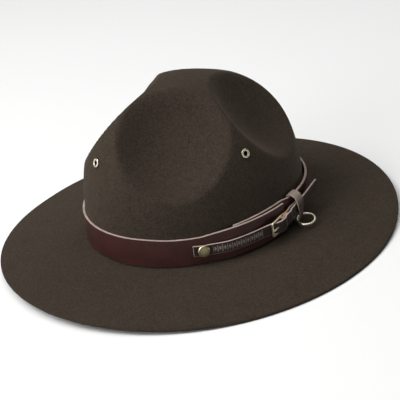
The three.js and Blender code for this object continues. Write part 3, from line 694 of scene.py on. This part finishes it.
def felt_material():
    """Felt in soft clouds, with a short nap and a few paler fibres."""
    s = Shader("felt", Roughness=0.95, Specular_IOR_Level=0.15, Sheen_Weight=0.09,
               Sheen_Roughness=0.45, Sheen_Tint=(0.75, 0.6, 0.42, 1))
    clouds = s.noise(30, 3, 0.55)
    blotch = s.noise(5.5, 4, 0.65)
    nap = s.noise(2.2, 3, 0.7, 0.4)
    fibre = s.noise(1.1, 3, 0.75, 0.6)
    color = s.mix(s.span(clouds, 0.3, 0.7), (0.0242, 0.0172, 0.0119), (0.0328, 0.024, 0.0167))
    color = s.mix(s.span(blotch, 0.38, 0.66, 0, 0.5), color, (0.044, 0.0326, 0.0226))
    color = s.mix(s.span(nap, 0.42, 0.63, 0, 0.7), color, (0.0158, 0.0115, 0.0082))
    color = s.mix(s.span(fibre, 0.46, 0.65, 0, 0.74), color, (0.061, 0.0465, 0.0343))
    edge = s.mark("edge")
    color = s.mix(s.span(edge, 0, 1, 0, 0.3), color, (0.018, 0.0155, 0.0145))
    fine = s.bump(fibre, 0.35, 0.8)
    soft = s.bump(nap, 0.4, 0.6, fine)
    return s.use(Base_Color=color, Normal=s.bump(blotch, 0.4, 0.5, soft))


def leather_material(name, deep, plain, light, rough, rub_and_sheen=(0.24, 0.2, 0.18)):
    """Smooth leather with a fine grain, paler where its points are marked: rubbed wear on the
    tooling, painted sheen at the tab's bend.
    """
    s = Shader(name, Specular_IOR_Level=0.3)
    clouds = s.noise(14, 3, 0.55, 0.3)
    blotch = s.noise(3.2, 3, 0.6)
    grain = s.cells(0.75)
    color = s.mix(s.span(clouds, 0.3, 0.7), deep, plain)
    color = s.mix(s.span(blotch, 0.5, 0.8, 0, 0.35), color, light)
    color = s.mix(s.span(s.mark("wear_and_painted_light"), 0, 1, 0, 0.85), color, rub_and_sheen)
    rough = s.maths("ADD", s.span(blotch, 0.3, 0.7, -0.07, 0.07), rough)
    fine = s.bump(grain, 0.05, 0.55)
    creases = s.bump(s.noise(1.6, 4, 0.65, 0.8), 0.09, 0.5, fine)
    return s.use(Base_Color=color, Roughness=rough, Normal=creases)


def raw_edge_material(name, pale, shade, warm=None):
    """Cut leather. Warm is its colour where its points are marked as worn."""
    s = Shader(name, Roughness=0.8, Specular_IOR_Level=0.25)
    fibre = s.noise(0.5, 4, 0.7)
    patch = s.noise(5, 3, 0.6)
    color = s.mix(s.span(patch, 0.35, 0.7), pale, shade)
    if warm:
        color = s.mix(s.span(s.mark("wear_and_painted_light"), 0, 1), color, warm)
    color = s.mix(s.span(fibre, 0.4, 0.75, 0, 0.45), color, tuple(c * 0.55 for c in shade))
    return s.use(Base_Color=color, Normal=s.bump(fibre, 0.15, 0.6))


def brass_material(name, bright, dull, smooth, rough):
    """Aged brass, darkened where its points are marked: painted shade in the eyelets' bores and
    under the stud's head, and a darker ring inside the stud's rim.
    """
    s = Shader(name, Metallic=1.0)
    patch = s.noise(1.6, 4, 0.65)
    fine = s.noise(0.35, 3, 0.6)
    color = s.mix(s.span(patch, 0.35, 0.65), bright, dull)
    color = s.mix(s.span(s.mark("wear_and_painted_light"), 0, 1, 0, 0.85), color, (0.07, 0.055, 0.03))
    gloss = s.span(patch, 0.3, 0.7, smooth, rough)
    return s.use(Base_Color=color, Roughness=gloss, Normal=s.bump(fine, 0.03, 0.3))


def floor_material():
    s = Shader("pale_floor", Roughness=0.85, Specular_IOR_Level=0.2)
    cloud = s.span(s.noise(600, 2, 0.5), 0.3, 0.7)
    return s.use(Base_Color=s.mix(cloud, (0.83, 0.83, 0.825), (0.85, 0.85, 0.845)))


FELT_LOOK = felt_material()
BAND_LOOK = leather_material(
    "band_leather", (0.03, 0.0088, 0.007), (0.045, 0.0128, 0.0105), (0.062, 0.021, 0.0175), 0.4
)
STRAP_LOOK = leather_material(
    "strap_leather", (0.017, 0.0098, 0.0085), (0.028, 0.0155, 0.013), (0.052, 0.034, 0.029), 0.42
)
# The tab's leather is paler than the straps' leather, as painted sheen on its face
TAB_LOOK = leather_material(
    "tab_leather", (0.08, 0.05, 0.04), (0.11, 0.072, 0.058), (0.15, 0.11, 0.09), 0.5,
    (0.34, 0.27, 0.23),
)
EDGE_LOOK = raw_edge_material("raw_leather_edge", (0.46, 0.375, 0.33), (0.34, 0.25, 0.21))
FOLD_LOOK = raw_edge_material(
    "warm_leather_edge", (0.42, 0.32, 0.27), (0.33, 0.23, 0.19), (0.5, 0.29, 0.18)
)
# The leather's back, also used as painted shade on the band's lower edge
BACK_AND_SHADE_LOOK = raw_edge_material("leather_back_and_shade", (0.1, 0.06, 0.05), (0.07, 0.04, 0.033))
BRASS_LOOK = brass_material("aged_brass", (0.88, 0.82, 0.64), (0.7, 0.64, 0.46), 0.24, 0.4)
STUD_LOOK = brass_material("stud_brass", (0.72, 0.64, 0.4), (0.56, 0.49, 0.28), 0.26, 0.38)
# Looks of a strip's face, edge and back
BAND_SET = [BAND_LOOK, EDGE_LOOK, BACK_AND_SHADE_LOOK]
STRAP_SET = [STRAP_LOOK, EDGE_LOOK, BACK_AND_SHADE_LOOK]
FOLD_SET = [STRAP_LOOK, FOLD_LOOK, BACK_AND_SHADE_LOOK]
TAB_SET = [TAB_LOOK, EDGE_LOOK, BACK_AND_SHADE_LOOK]


def dress(piece, node):
    """Ties a piece to the hat's one body, and hides the solid that it stands for."""
    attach(piece, "root")
    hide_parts(node)


# The felt
def felt_hat():
    """Crown and brim: an outer skin from the brim's edge to the peak, and one inside it."""
    around = 260
    angles = np.linspace(0, 2 * math.pi, around, endpoint=False)
    first = 1 - RIM_ROUND / BRIM_WIDTH
    shares = np.concatenate([np.linspace(first, 0.1, 26), [0.065, 0.042]])
    outer, flat = [], []
    for share in shares:
        row = oval(angles, 1, BRIM_WIDTH * share, FRONT_FULLNESS * (1 - share))
        row[:, 2] = brim_underside(angles, share) + FELT
        outer.append(row)
        flat.append(True)
    for share in np.linspace(0, 1, 5):
        spread = JOINT_RADIUS * (1 - math.sin(share * math.pi / 2))
        row = oval(angles, 1, spread, FRONT_FULLNESS)
        seam = brim_underside(angles, JOINT_RADIUS / BRIM_WIDTH) + FELT
        top = BRIM_TOP + JOINT_RADIUS
        row[:, 2] = seam + (top - seam) * (1 - math.cos(share * math.pi / 2))
        outer.append(row)
        flat.append(share == 0)
    foot = [0.45, 0.85, 1.4, 2.0, 2.7, 3.5, 4.4, 5.3]
    for climb in np.radians(np.concatenate([foot, np.linspace(6.3, 89.0, 88)])):
        outer.append(crown(angles, np.full(around, climb)))
        flat.append(False)
    outer = np.array(outer)
    peak = crown(np.float64(0), np.float64(math.pi / 2))
    aside = np.roll(outer, -1, 1) - np.roll(outer, 1, 1)
    above = np.gradient(outer, axis=0)
    normals = unit(np.cross(aside, above))
    normals[np.array(flat)] = UP
    inner = outer - normals * FELT
    inner_peak = peak - UP * FELT
    rim = []
    for swing in np.radians([-60, -30, 0, 30, 60]):
        reach = BRIM_WIDTH - RIM_ROUND + RIM_ROUND * math.cos(swing) ** 0.8
        row = oval(angles, 1, reach, 0)
        middle = brim_underside(angles, 1.0) + FELT / 2
        row[:, 2] = middle + FELT / 2 * np.sign(swing) * abs(math.sin(swing)) ** 0.8
        rim.append(row)
    loops = list(inner[::-1]) + rim + list(outer)
    edge = np.zeros((len(loops), around))
    start = len(inner)
    edge[start : start + len(rim)] = 1
    edge[start - 1] = 0.6
    edge[start + len(rim)] = 0.35
    hat = skin("felt_hat", loops, [FELT_LOOK], caps=(inner_peak, peak), values={"edge": edge})
    hole = EYELET_HOLE / 2 + EYELET_SHEET + SEAT_GAP
    cutters = []
    for side, turn, height in EYELETS:
        point, facing = eyelet_seat(turn, height)
        through = facing * FELT * 3
        cutters.append(rod("cutter_" + side, hole, point - through, point + through))
    cut(hat, cutters, 0)
    dress(hat, "felt_body")


# The eyelets, the stud and the buckle
def eyelets():
    """Each eyelet is a closed ring: a collar inside, a barrel and a dome outside."""
    sides, bevel, lip = 48, 0.15, 0.12
    hole = EYELET_HOLE / 2
    barrel = hole + EYELET_SHEET
    flange = EYELET_FLANGE / 2
    collar = EYELET_COLLAR / 2
    seat = 2 * SEAT_GAP
    inside = -FELT - seat
    half = EYELET_SHEET / 2
    profile = [(hole, inside - EYELET_SHEET + bevel), (hole + bevel, inside - EYELET_SHEET)]
    profile += [(collar - bevel, inside - EYELET_SHEET), (collar, inside - half)]
    profile += [(collar - bevel, inside), (barrel, inside), (barrel, seat), (flange - lip, seat)]
    for swing in np.radians(np.linspace(-10, 180, 13)):
        reach = (flange + hole) / 2 + (flange - hole) / 2 * math.cos(swing)
        dome = (EYELET_DOME - lip) * max(0, math.sin(swing)) ** 0.75
        profile.append((reach, seat + lip + dome))
    profile += [(hole, seat - 0.6), (hole, inside / 2)]
    # The marks darken the collar and barrel in the felt, and the brass down into the bore: painted
    # shade
    wear_and_painted_light = [0.6] * 8 + [0.25, 0.1] + [0] * 7 + [0.1, 0.25, 0.45, 0.7] + [0.9, 1]
    for side, turn, height in EYELETS:
        point, facing = eyelet_seat(turn, height)
        loops = lathe_loops(profile, point, facing, sides)
        marks = {"wear_and_painted_light": [[mark] * sides for mark in wear_and_painted_light]}
        piece = skin("eyelet_ring_" + side, loops, [BRASS_LOOK], closed=True, values=marks)
        dress(piece, "eyelet_" + side)


def strap_standoff(rows, turn):
    """How far a narrow strap's inner face stands off the crown."""
    bands = follow(rows, STRAP_BANDS, turn) * (BAND_LEATHER + SEAT_GAP)
    straps = follow(rows, STRAP_STRAPS, turn) * (STRAP_LEATHER + SEAT_GAP)
    return SEAT_GAP + bands + straps + follow(rows, STRAP_BOW, turn) * STRAP_WIDTH


def strap_height(rows, turn):
    """The height of a narrow strap's middle."""
    return STRAP_HEIGHT + follow(rows, STRAP_RISE, turn) * STRAP_WIDTH


STUD_ANGLE = math.radians(STUD_TURN)
STUD_OUT = outward(STUD_ANGLE)
STUD_STANDOFF = strap_standoff(BILLET_ROWS, STUD_TURN) + STRAP_LEATHER
STUD_POINT = wall(STUD_ANGLE, BAND_FOOT, STUD_STANDOFF + SEAT_GAP)
STUD_POINT[2] = strap_height(BILLET_ROWS, STUD_TURN)
# The stud's head: how far each ring lies inside its rim, and how far out
STUD_HEAD_ROWS = (
    (0.25, 0), (0.05, 0.12), (0, 0.35), (0, 0.62), (0.1, 0.95), (0.35, 1.28),
    (0.7, 1.5), (0.85, 1.54), (1.02, 1.5), (1.15, 1.5),
)


def stud():
    """A post, and a head with a flat face inside a rolled rim."""
    sides = 64
    radius, post = STUD_HEAD / 2, STUD_POST / 2
    deep = -(STUD_STANDOFF - SEAT_GAP)
    top = STUD_HEAD_DEPTH
    profile = [(post - 0.2, deep), (post, deep + 0.2), (post, -0.1), (post + 0.1, 0)]
    profile += [(radius - inset, out) for inset, out in STUD_HEAD_ROWS]
    profile += [(radius * 0.5, top - 0.32), (radius * 0.2, top - 0.29)]
    # The marks darken the post and the underside of the head, as painted shade, and a ring just
    # inside the rim
    wear_and_painted_light = [0.8] * 5 + [0.5, 0.3, 0.1, 0, 0, 0, 0, 0.7, 0.7, 0.1, 0.1]
    loops = lathe_loops(profile, STUD_POINT, STUD_OUT, sides)
    caps = (STUD_POINT + STUD_OUT * deep, STUD_POINT + STUD_OUT * (top - 0.28))
    marks = {"wear_and_painted_light": [[mark] * sides for mark in wear_and_painted_light]}
    piece = skin("stud_head", loops, [STUD_LOOK], caps=caps, values=marks)
    dress(piece, "band_stud")


def stud_cutter():
    reach = STUD_OUT * 8
    return rod("cutter_stud", STUD_POST / 2 + SEAT_GAP, STUD_POINT - reach, STUD_POINT + reach)


BAR_ANGLE = math.radians(BUCKLE_TURN)
BAR_OUT = outward(BAR_ANGLE)
BAR_ALONG = np.cross(UP, BAR_OUT)
BAR_UNDER = strap_standoff(BUCKLE_STRAP_INNER, BUCKLE_TURN)
BAR_STANDOFF = BAR_UNDER + STRAP_LEATHER + SEAT_GAP + BUCKLE_BAR / 2
BAR_POINT = wall(BAR_ANGLE, BAND_FOOT, BAR_STANDOFF)
BAR_POINT[2] = STRAP_HEIGHT
BUCKLE_X = turned(-BAR_ALONG, UP, math.radians(BUCKLE_TILT))
BUCKLE_Y = -UP
BUCKLE_Z = np.cross(BUCKLE_X, BUCKLE_Y)


def in_buckle(points):
    """Points of the buckle's own frame: X from the rear bar forwards, Y down, Z outward."""
    points = np.asarray(points, float)
    return BAR_POINT + points @ np.array([BUCKLE_X, BUCKLE_Y, BUCKLE_Z])


def buckle():
    """A bar with a squarish section, bent to a rectangle with round corners."""
    half = BUCKLE_BAR / 2
    tall = BUCKLE_HEIGHT / 2 - half
    corner = BUCKLE_CORNER - half
    path = []
    for cx, cy, start in (
        (BUCKLE_LENGTH - corner, -tall + corner, -90),
        (BUCKLE_LENGTH - corner, tall - corner, 0),
        (corner, tall - corner, 90),
        (corner, -tall + corner, 180),
    ):
        for swing in np.radians(start + np.linspace(0, 90, 7)):
            path.append((cx + corner * math.cos(swing), cy + corner * math.sin(swing), swing))
    fine = []
    x, y, swing = path[0]
    following = path[1:] + [(x, y, swing + 2 * math.pi)]
    for (x0, y0, s0), (x1, y1, s1) in zip(path, following):
        steps = max(1, int(math.hypot(x1 - x0, y1 - y0) / 0.7))
        for k in range(steps):
            share = k / steps
            fine.append((x0 + (x1 - x0) * share, y0 + (y1 - y0) * share, s0 + (s1 - s0) * share))
    ring = []
    for swing in np.radians(np.arange(0, 360, 20)):
        c, s = math.cos(swing), math.sin(swing)
        ring.append((half * np.sign(c) * abs(c) ** 0.65, half * np.sign(s) * abs(s) ** 0.65))
    loops = []
    for x, y, swing in fine:
        loop = [(x + a * math.cos(swing), y + a * math.sin(swing), b) for a, b in ring]
        loops.append(in_buckle(loop))
    piece = skin("buckle_bars", loops, [BRASS_LOOK], closed=True)
    dress(piece, "buckle_frame")


def prong_points():
    over = BUCKLE_BAR / 2 + SEAT_GAP + PRONG_WIRE / 2
    return [(over, 0, 0)] + [(BUCKLE_LENGTH * along, 0, over * out) for along, out in PRONG_ROWS]


def prong():
    """An eye round the rear bar, and a wire that comes out of it and lies on the front bar."""
    steps = 40
    inside = BUCKLE_BAR / 2 + SEAT_GAP
    half = PRONG_WIRE / 2
    path = spline(prong_points(), steps)
    radii = np.full(steps, half)
    radii[-4:] = half * np.array([0.97, 0.86, 0.66, 0.35])
    loops = tube_loops(in_buckle(path), radii, 20)
    wire = skin("prong_wire", loops, [BRASS_LOOK])
    wide = PRONG_WIRE * 0.8 / 2
    eye = []
    for swing in np.radians(np.arange(0, 360, 10)):
        spoke = np.array([math.cos(swing), 0, math.sin(swing)])
        loop = []
        for k in np.radians(np.arange(0, 360, 20)):
            c, s = math.cos(k), math.sin(k)
            reach = inside + wide + wide * np.sign(c) * abs(c) ** 0.7
            loop.append(spoke * reach + np.array([0, half * np.sign(s) * abs(s) ** 0.7, 0]))
        eye.append(in_buckle(loop))
    eyelet = skin("prong_eye", eye, [BRASS_LOOK], closed=True)
    combine(eyelet, [wire], "UNION")
    reach = PRONG_WIRE * 2
    bore = rod("cutter_bore", inside, in_buckle([0, -reach, 0]), in_buckle([0, reach, 0]), 36)
    cut(eyelet, [bore], 0)
    eyelet.name = "buckle_tongue"
    for face in eyelet.data.polygons:
        face.use_smooth = True
    sharpen(eyelet, CRISP_BRASS)
    dress(eyelet, "buckle_prong")


# The band, the straps, the tab and its ring
CROWN_MEAN = (CROWN_HALF_LENGTH + CROWN_HALF_WIDTH) / 2


def turns_of(first, last, step):
    """Turns from first to last, about one step of length apart."""
    count = math.ceil(abs(last - first) * math.radians(1) * CROWN_MEAN / step)
    return [first + (last - first) * i / count for i in range(count + 1)]


def band_station(turn):
    """The band's four corners at a turn: inner low, outer low, outer high, inner high."""
    angle = math.radians(turn)
    standoff = SEAT_GAP + follow(BAND_ROWS, BAND_LAYERS, turn) * (BAND_LEATHER + SEAT_GAP)
    lean = follow(BAND_ROWS, BAND_LEAN, turn) * BAND_WIDTH
    rise = follow(BAND_ROWS, BAND_RISE, turn)
    low = BAND_FOOT + rise * BAND_WIDTH
    high = BAND_FOOT + BAND_WIDTH * (1 + rise + follow(BAND_ROWS, BAND_TOP, turn))
    return [
        wall(angle, low, standoff),
        wall(angle, low, standoff + BAND_LEATHER),
        wall(angle, high, standoff + BAND_LEATHER + lean),
        wall(angle, high, standoff + lean),
    ]


def band():
    turns = turns_of(BAND_ROWS[0][0], BAND_ROWS[-1][0], BAND_STEP)
    stations = [band_station(turn) for turn in turns]
    # The band's lower edge takes the dark back look, as painted shade along the band's foot
    piece = strip("leather_band", stations, BAND_LEATHER, BAND_WIDTH, BAND_SET, 16, 0.32,
                  low_edge=BACK)
    cut(piece, [stud_cutter()], EDGE)
    sharpen(piece, CRISP_LEATHER)
    dress(piece, "hat_band")


def strap_path(rows, step):
    """The middle line of a narrow strap, and the turns of its points."""
    path, turns = [], turns_of(rows[0][0], rows[-1][0], step)
    for turn in turns:
        point = wall(math.radians(turn), BAND_FOOT, strap_standoff(rows, turn) + STRAP_LEATHER / 2)
        point[2] = strap_height(rows, turn)
        path.append(point)
    return path, turns


def strap_stations(path):
    """A middle line thickened level and widened upright."""
    stations = []
    for i, point in enumerate(path):
        way = path[min(len(path) - 1, i + 1)] - path[max(0, i - 1)]
        way = unit(way * np.array([1, 1, 0]))
        side = np.cross(way, UP)
        inner = point - side * STRAP_LEATHER / 2
        outer = point + side * STRAP_LEATHER / 2
        half = UP * STRAP_WIDTH / 2
        stations.append([inner - half, outer - half, outer + half, inner + half])
    return stations


def tooling(turns):
    """A plain stamped border: lozenges between short bars, along the middle of the strap."""
    first, last, cell = 65.2, 90.5, 3.7
    mean = CROWN_MEAN * math.radians(1)

    def relief(number, t, kind):
        turn = turns[number]
        if kind != FACE or not first < turn < last:
            return 0, 0
        along = (turn - first) * mean
        across = (t - 0.5) * STRAP_WIDTH
        place = (along % cell) - cell / 2
        lozenge = abs(place) / 1.15 + abs(across) / 2.6
        bar = max(abs(abs(place) - cell / 2) / 0.36, abs(across) / 2.8)
        rim = abs(abs(across) - 3.8) / 0.25
        raised = max(1 - max(0, lozenge - 0.75) / 0.3, 1 - max(0, bar - 0.85) / 0.4, 0)
        ground = 1 if abs(across) < 3.1 else max(0, 1 - (abs(across) - 3.1) / 0.35)
        groove = max(0, 1 - rim)
        height = -0.22 * ground * (1 - min(1, raised)) - 0.14 * groove
        return height, min(1, raised)

    return relief


def billet():
    """The narrow strap, with a hole for the stud and one for the prong."""
    path, turns = strap_path(BILLET_ROWS, BILLET_STEP)
    stations = strap_stations(path)
    piece = strip("narrow_strap", stations, STRAP_LEATHER, STRAP_WIDTH, STRAP_SET, 30, 0.3,
                  tooling(turns))
    steps = 30
    way = spline(prong_points(), steps)
    loops = tube_loops(in_buckle(way), np.full(steps, PRONG_WIRE / 2 + SEAT_GAP), 16)
    cut(piece, [stud_cutter(), skin("cutter_prong", loops, [])], EDGE)
    sharpen(piece, CRISP_LEATHER)
    dress(piece, "billet_strap")


def buckle_strap():
    """The short strap, folded round the buckle's rear bar, with a slot for the prong's eye."""
    inner, _ = strap_path(BUCKLE_STRAP_INNER, BUCKLE_STRAP_STEP)
    outer, _ = strap_path(BUCKLE_STRAP_OUTER, BUCKLE_STRAP_STEP)
    radius = BUCKLE_BAR / 2 + SEAT_GAP + STRAP_LEATHER / 2
    fold = []
    for swing in np.radians(np.linspace(12, 168, 14)):
        bend = BAR_POINT - BAR_OUT * radius * math.cos(swing)
        fold.append(bend - BAR_ALONG * radius * math.sin(swing))
    path = (inner + fold + outer)[::-1]

    def warmth(number, t, kind):
        away = np.linalg.norm(path[number] - BAR_POINT)
        return 0, min(1, max(0, 1.3 - away / 14)) if kind == EDGE else 0

    piece = strip("buckle_fold", strap_stations(path), STRAP_LEATHER, STRAP_WIDTH, FOLD_SET, 8, 0.3,
                  warmth)
    half_long, half_tall, half_deep = PRONG_WIRE + 3.5, PRONG_WIRE / 2 + SEAT_GAP, 4
    centre = BAR_POINT - BAR_ALONG
    side = np.cross(BAR_ALONG, UP)
    loops = []
    for x in (-half_long, half_long):
        loop = []
        for a, b in ((-1, -1), (1, -1), (1, 1), (-1, 1)):
            loop.append(centre + BAR_ALONG * x + UP * half_tall * a + side * half_deep * b)
        loops.append(np.array(loop))
    cut(piece, [skin("cutter_slot", loops, [])], EDGE)
    sharpen(piece, CRISP_LEATHER)
    dress(piece, "buckle_strap")


TAB_ANGLE = math.radians(TAB_TURN)
TAB_OUT = outward(TAB_ANGLE)
TAB_ALONG = np.cross(UP, TAB_OUT)
TAB_RING = RING_WIRE / 2 + SEAT_GAP + TAB_LEATHER / 2
TAB_BEND = BAND_FOOT + BAND_WIDTH
SLANT = math.radians(TAB_SLANT)
RING_EDGE_OUT = 2 * SEAT_GAP + BAND_LEATHER + TAB_LEATHER / 2 + TAB_RING
TAB_FOOT_TILT = TAB_FOOT_WIDTH / 2 * math.sin(SLANT)
RING_EDGE_UP = BRIM_TOP + TAB_RING + TAB_LEATHER / 2 + TAB_CLEAR + TAB_FOOT_TILT
RING_BULGE = RING_RADIUS - math.sqrt(RING_RADIUS**2 - (TAB_FOOT_WIDTH / 2) ** 2)


def tab_point(out, height):
    """A point of the tab, which drifts towards the back of the hat below its bend."""
    drift = math.tan(SLANT) * max(0, TAB_BEND - height)
    point = wall(TAB_ANGLE, BAND_FOOT, out) + TAB_ALONG * drift
    point[2] = height
    return point


def ring_tab():
    """The tab: over the band, down to the ring, round its wire and up again."""
    rise = follow(BAND_ROWS, BAND_RISE, TAB_TURN) * BAND_WIDTH
    path = []
    for out, up in TAB_ROWS:
        path.append(tab_point(out * STRAP_WIDTH, BAND_FOOT + rise + up * BAND_WIDTH))
    spare = RING_BULGE / 2
    fold_steps = 8
    for i in range(fold_steps + 1):
        swing = math.pi * i / fold_steps
        out = RING_EDGE_OUT + spare + (TAB_RING + spare) * math.cos(swing)
        path.append(tab_point(out, RING_EDGE_UP - TAB_RING * math.sin(swing)))
    path.append(tab_point(RING_EDGE_OUT - TAB_RING, RING_EDGE_UP + TAB_RING))
    count = 110
    fine = spline(path, count)
    tangents = unit(np.gradient(fine, axis=0))
    stations = []
    for i in range(count):
        share = i / (count - 1)
        ramp = min(1, max(0, (share - TAB_NARROW_FROM) / (TAB_NARROW_TO - TAB_NARROW_FROM)))
        narrow = ramp * ramp * (3 - 2 * ramp)
        axis = turned(TAB_ALONG, TAB_OUT, SLANT * narrow)
        side = unit(np.cross(tangents[i], axis))
        across = unit(np.cross(side, tangents[i]))
        half = (TAB_WIDTH + (TAB_FOOT_WIDTH - TAB_WIDTH) * narrow) / 2
        inner = fine[i] - side * TAB_LEATHER / 2
        outer = fine[i] + side * TAB_LEATHER / 2
        wide = across * half
        stations.append([inner - wide, outer - wide, outer + wide, inner + wide])
    bend = [np.mean(corners, 0)[2] for corners in stations]

    # Paler towards the top of the bend, which faces up to the lights: painted sheen
    def rub_and_sheen(number, t, kind):
        below = max(bend) - bend[number]
        return 0, 0.95 * min(1, max(0, 1.25 - below / 7)) if kind == FACE else 0

    piece = strip("tab_loop", stations, TAB_LEATHER, TAB_WIDTH, TAB_SET, 12, 0.28, rub_and_sheen)
    sharpen(piece, CRISP_LEATHER)
    dress(piece, "ring_tab")


def ring():
    """A round wire ring, held out over the brim by the tab's fold."""
    wire_axis = turned(TAB_ALONG, TAB_OUT, SLANT)
    out_axis = turned(TAB_OUT, wire_axis, math.radians(RING_DROP))
    normal = np.cross(out_axis, wire_axis)
    centre = tab_point(RING_EDGE_OUT, RING_EDGE_UP) + out_axis * RING_RADIUS
    loops = []
    for swing in np.radians(np.arange(0, 360, 4)):
        spoke = out_axis * math.cos(swing) + wire_axis * math.sin(swing)
        loop = []
        for k in np.radians(np.arange(0, 360, 18)):
            reach = RING_RADIUS + RING_WIRE / 2 * math.cos(k)
            loop.append(centre + spoke * reach + normal * RING_WIRE / 2 * math.sin(k))
        loops.append(np.array(loop))
    piece = skin("brass_ring", loops, [BRASS_LOOK], closed=True)
    dress(piece, "band_ring")


# The lights, the camera, the floor and the world
def add_thing(name, data, right, up, back, place):
    """An object that looks along -back, at a place in metres."""
    thing = bpy.data.objects.new(name, data)
    bpy.context.scene.collection.objects.link(thing)
    rows = [[right[i], up[i], back[i], place[i]] for i in range(3)]
    thing.matrix_world = Matrix([*rows, [0, 0, 0, 1]])
    return thing


def area_light(name, turn, climb, distance, size, power):
    """A round soft light that faces the hat from a turn round it and a climb above it."""
    turn, climb = math.radians(turn), math.radians(climb)
    level = math.cos(climb)
    back = np.array([math.sin(turn) * level, -math.cos(turn) * level, math.sin(climb)])
    right = unit(np.cross(UP, back))
    up = np.cross(back, right)
    place = back * distance + UP * 0.05
    data = bpy.data.lights.new(name, "AREA")
    data.shape = "DISK"
    data.size = size
    data.energy = power
    add_thing(name, data, right, up, back, place)


def camera():
    """The photo's camera, turned so that its axis meets the middle of the picture."""
    az, el, roll = (math.radians(v) for v in (CAMERA_TURN, CAMERA_CLIMB, CAMERA_ROLL))
    back = np.array([math.sin(az) * math.cos(el), -math.cos(az) * math.cos(el), math.sin(el)])
    place = np.array(CAMERA_TARGET) + back * CAMERA_DISTANCE
    level = np.array([math.cos(az), math.sin(az), 0])
    right = level * math.cos(roll) + np.cross(back, level) * math.sin(roll)
    up = np.cross(back, right)
    half = PHOTO / 2
    sight = -back + right * (half - MIDDLE_X) / FOCAL - up * (half - MIDDLE_Y) / FOCAL
    back = -unit(sight)
    right = unit(right - back * np.dot(right, back))
    up = np.cross(back, right)
    data = bpy.data.cameras.new("photo_camera")
    data.sensor_width = SENSOR
    data.lens = FOCAL / PHOTO * SENSOR
    bpy.context.scene.camera = add_thing("photo_camera", data, right, up, back, place)


def floor():
    """A pale round floor, just under the hat."""
    sides = 96
    points = []
    for turn in np.linspace(0, 2 * math.pi, sides, endpoint=False):
        points.append((FLOOR_RADIUS * math.cos(turn), FLOOR_RADIUS * math.sin(turn), -FLOOR_DROP))
    points.append((0, 0, -FLOOR_DROP))
    faces = [(j, (j + 1) % sides, sides) for j in range(sides)]
    mesh = bpy.data.meshes.new("floor")
    mesh.from_pydata((np.array(points) * MM).tolist(), [], faces)
    mesh.materials.append(floor_material())
    thing = bpy.data.objects.new("floor", mesh)
    bpy.context.scene.collection.objects.link(thing)


def world():
    """Pale round the sides, for the background, and dim overhead, where the lights are."""
    made = bpy.data.worlds.new("studio")
    made.use_nodes = True
    tree = made.node_tree
    place = tree.nodes.new("ShaderNodeTexCoord")
    parts = tree.nodes.new("ShaderNodeSeparateXYZ")
    fade = tree.nodes.new("ShaderNodeMapRange")
    for key, number in zip(RANGE_KEYS, (0.03, 0.2, 0.7, 0.01)):
        fade.inputs[key].default_value = number
    tree.links.new(place.outputs["Generated"], parts.inputs[0])
    tree.links.new(parts.outputs[2], fade.inputs[0])
    back = tree.nodes["Background"]
    back.inputs[0].default_value = (1.0, 1.0, 1.0, 1)
    tree.links.new(fade.outputs[0], back.inputs[1])
    bpy.context.scene.world = made


felt_hat()
eyelets()
band()
billet()
buckle_strap()
ring_tab()
stud()
buckle()
prong()
ring()
floor()
world()
for light in LIGHTS:
    area_light(*light)
camera()
bpy.context.scene.view_settings.view_transform = "Standard"
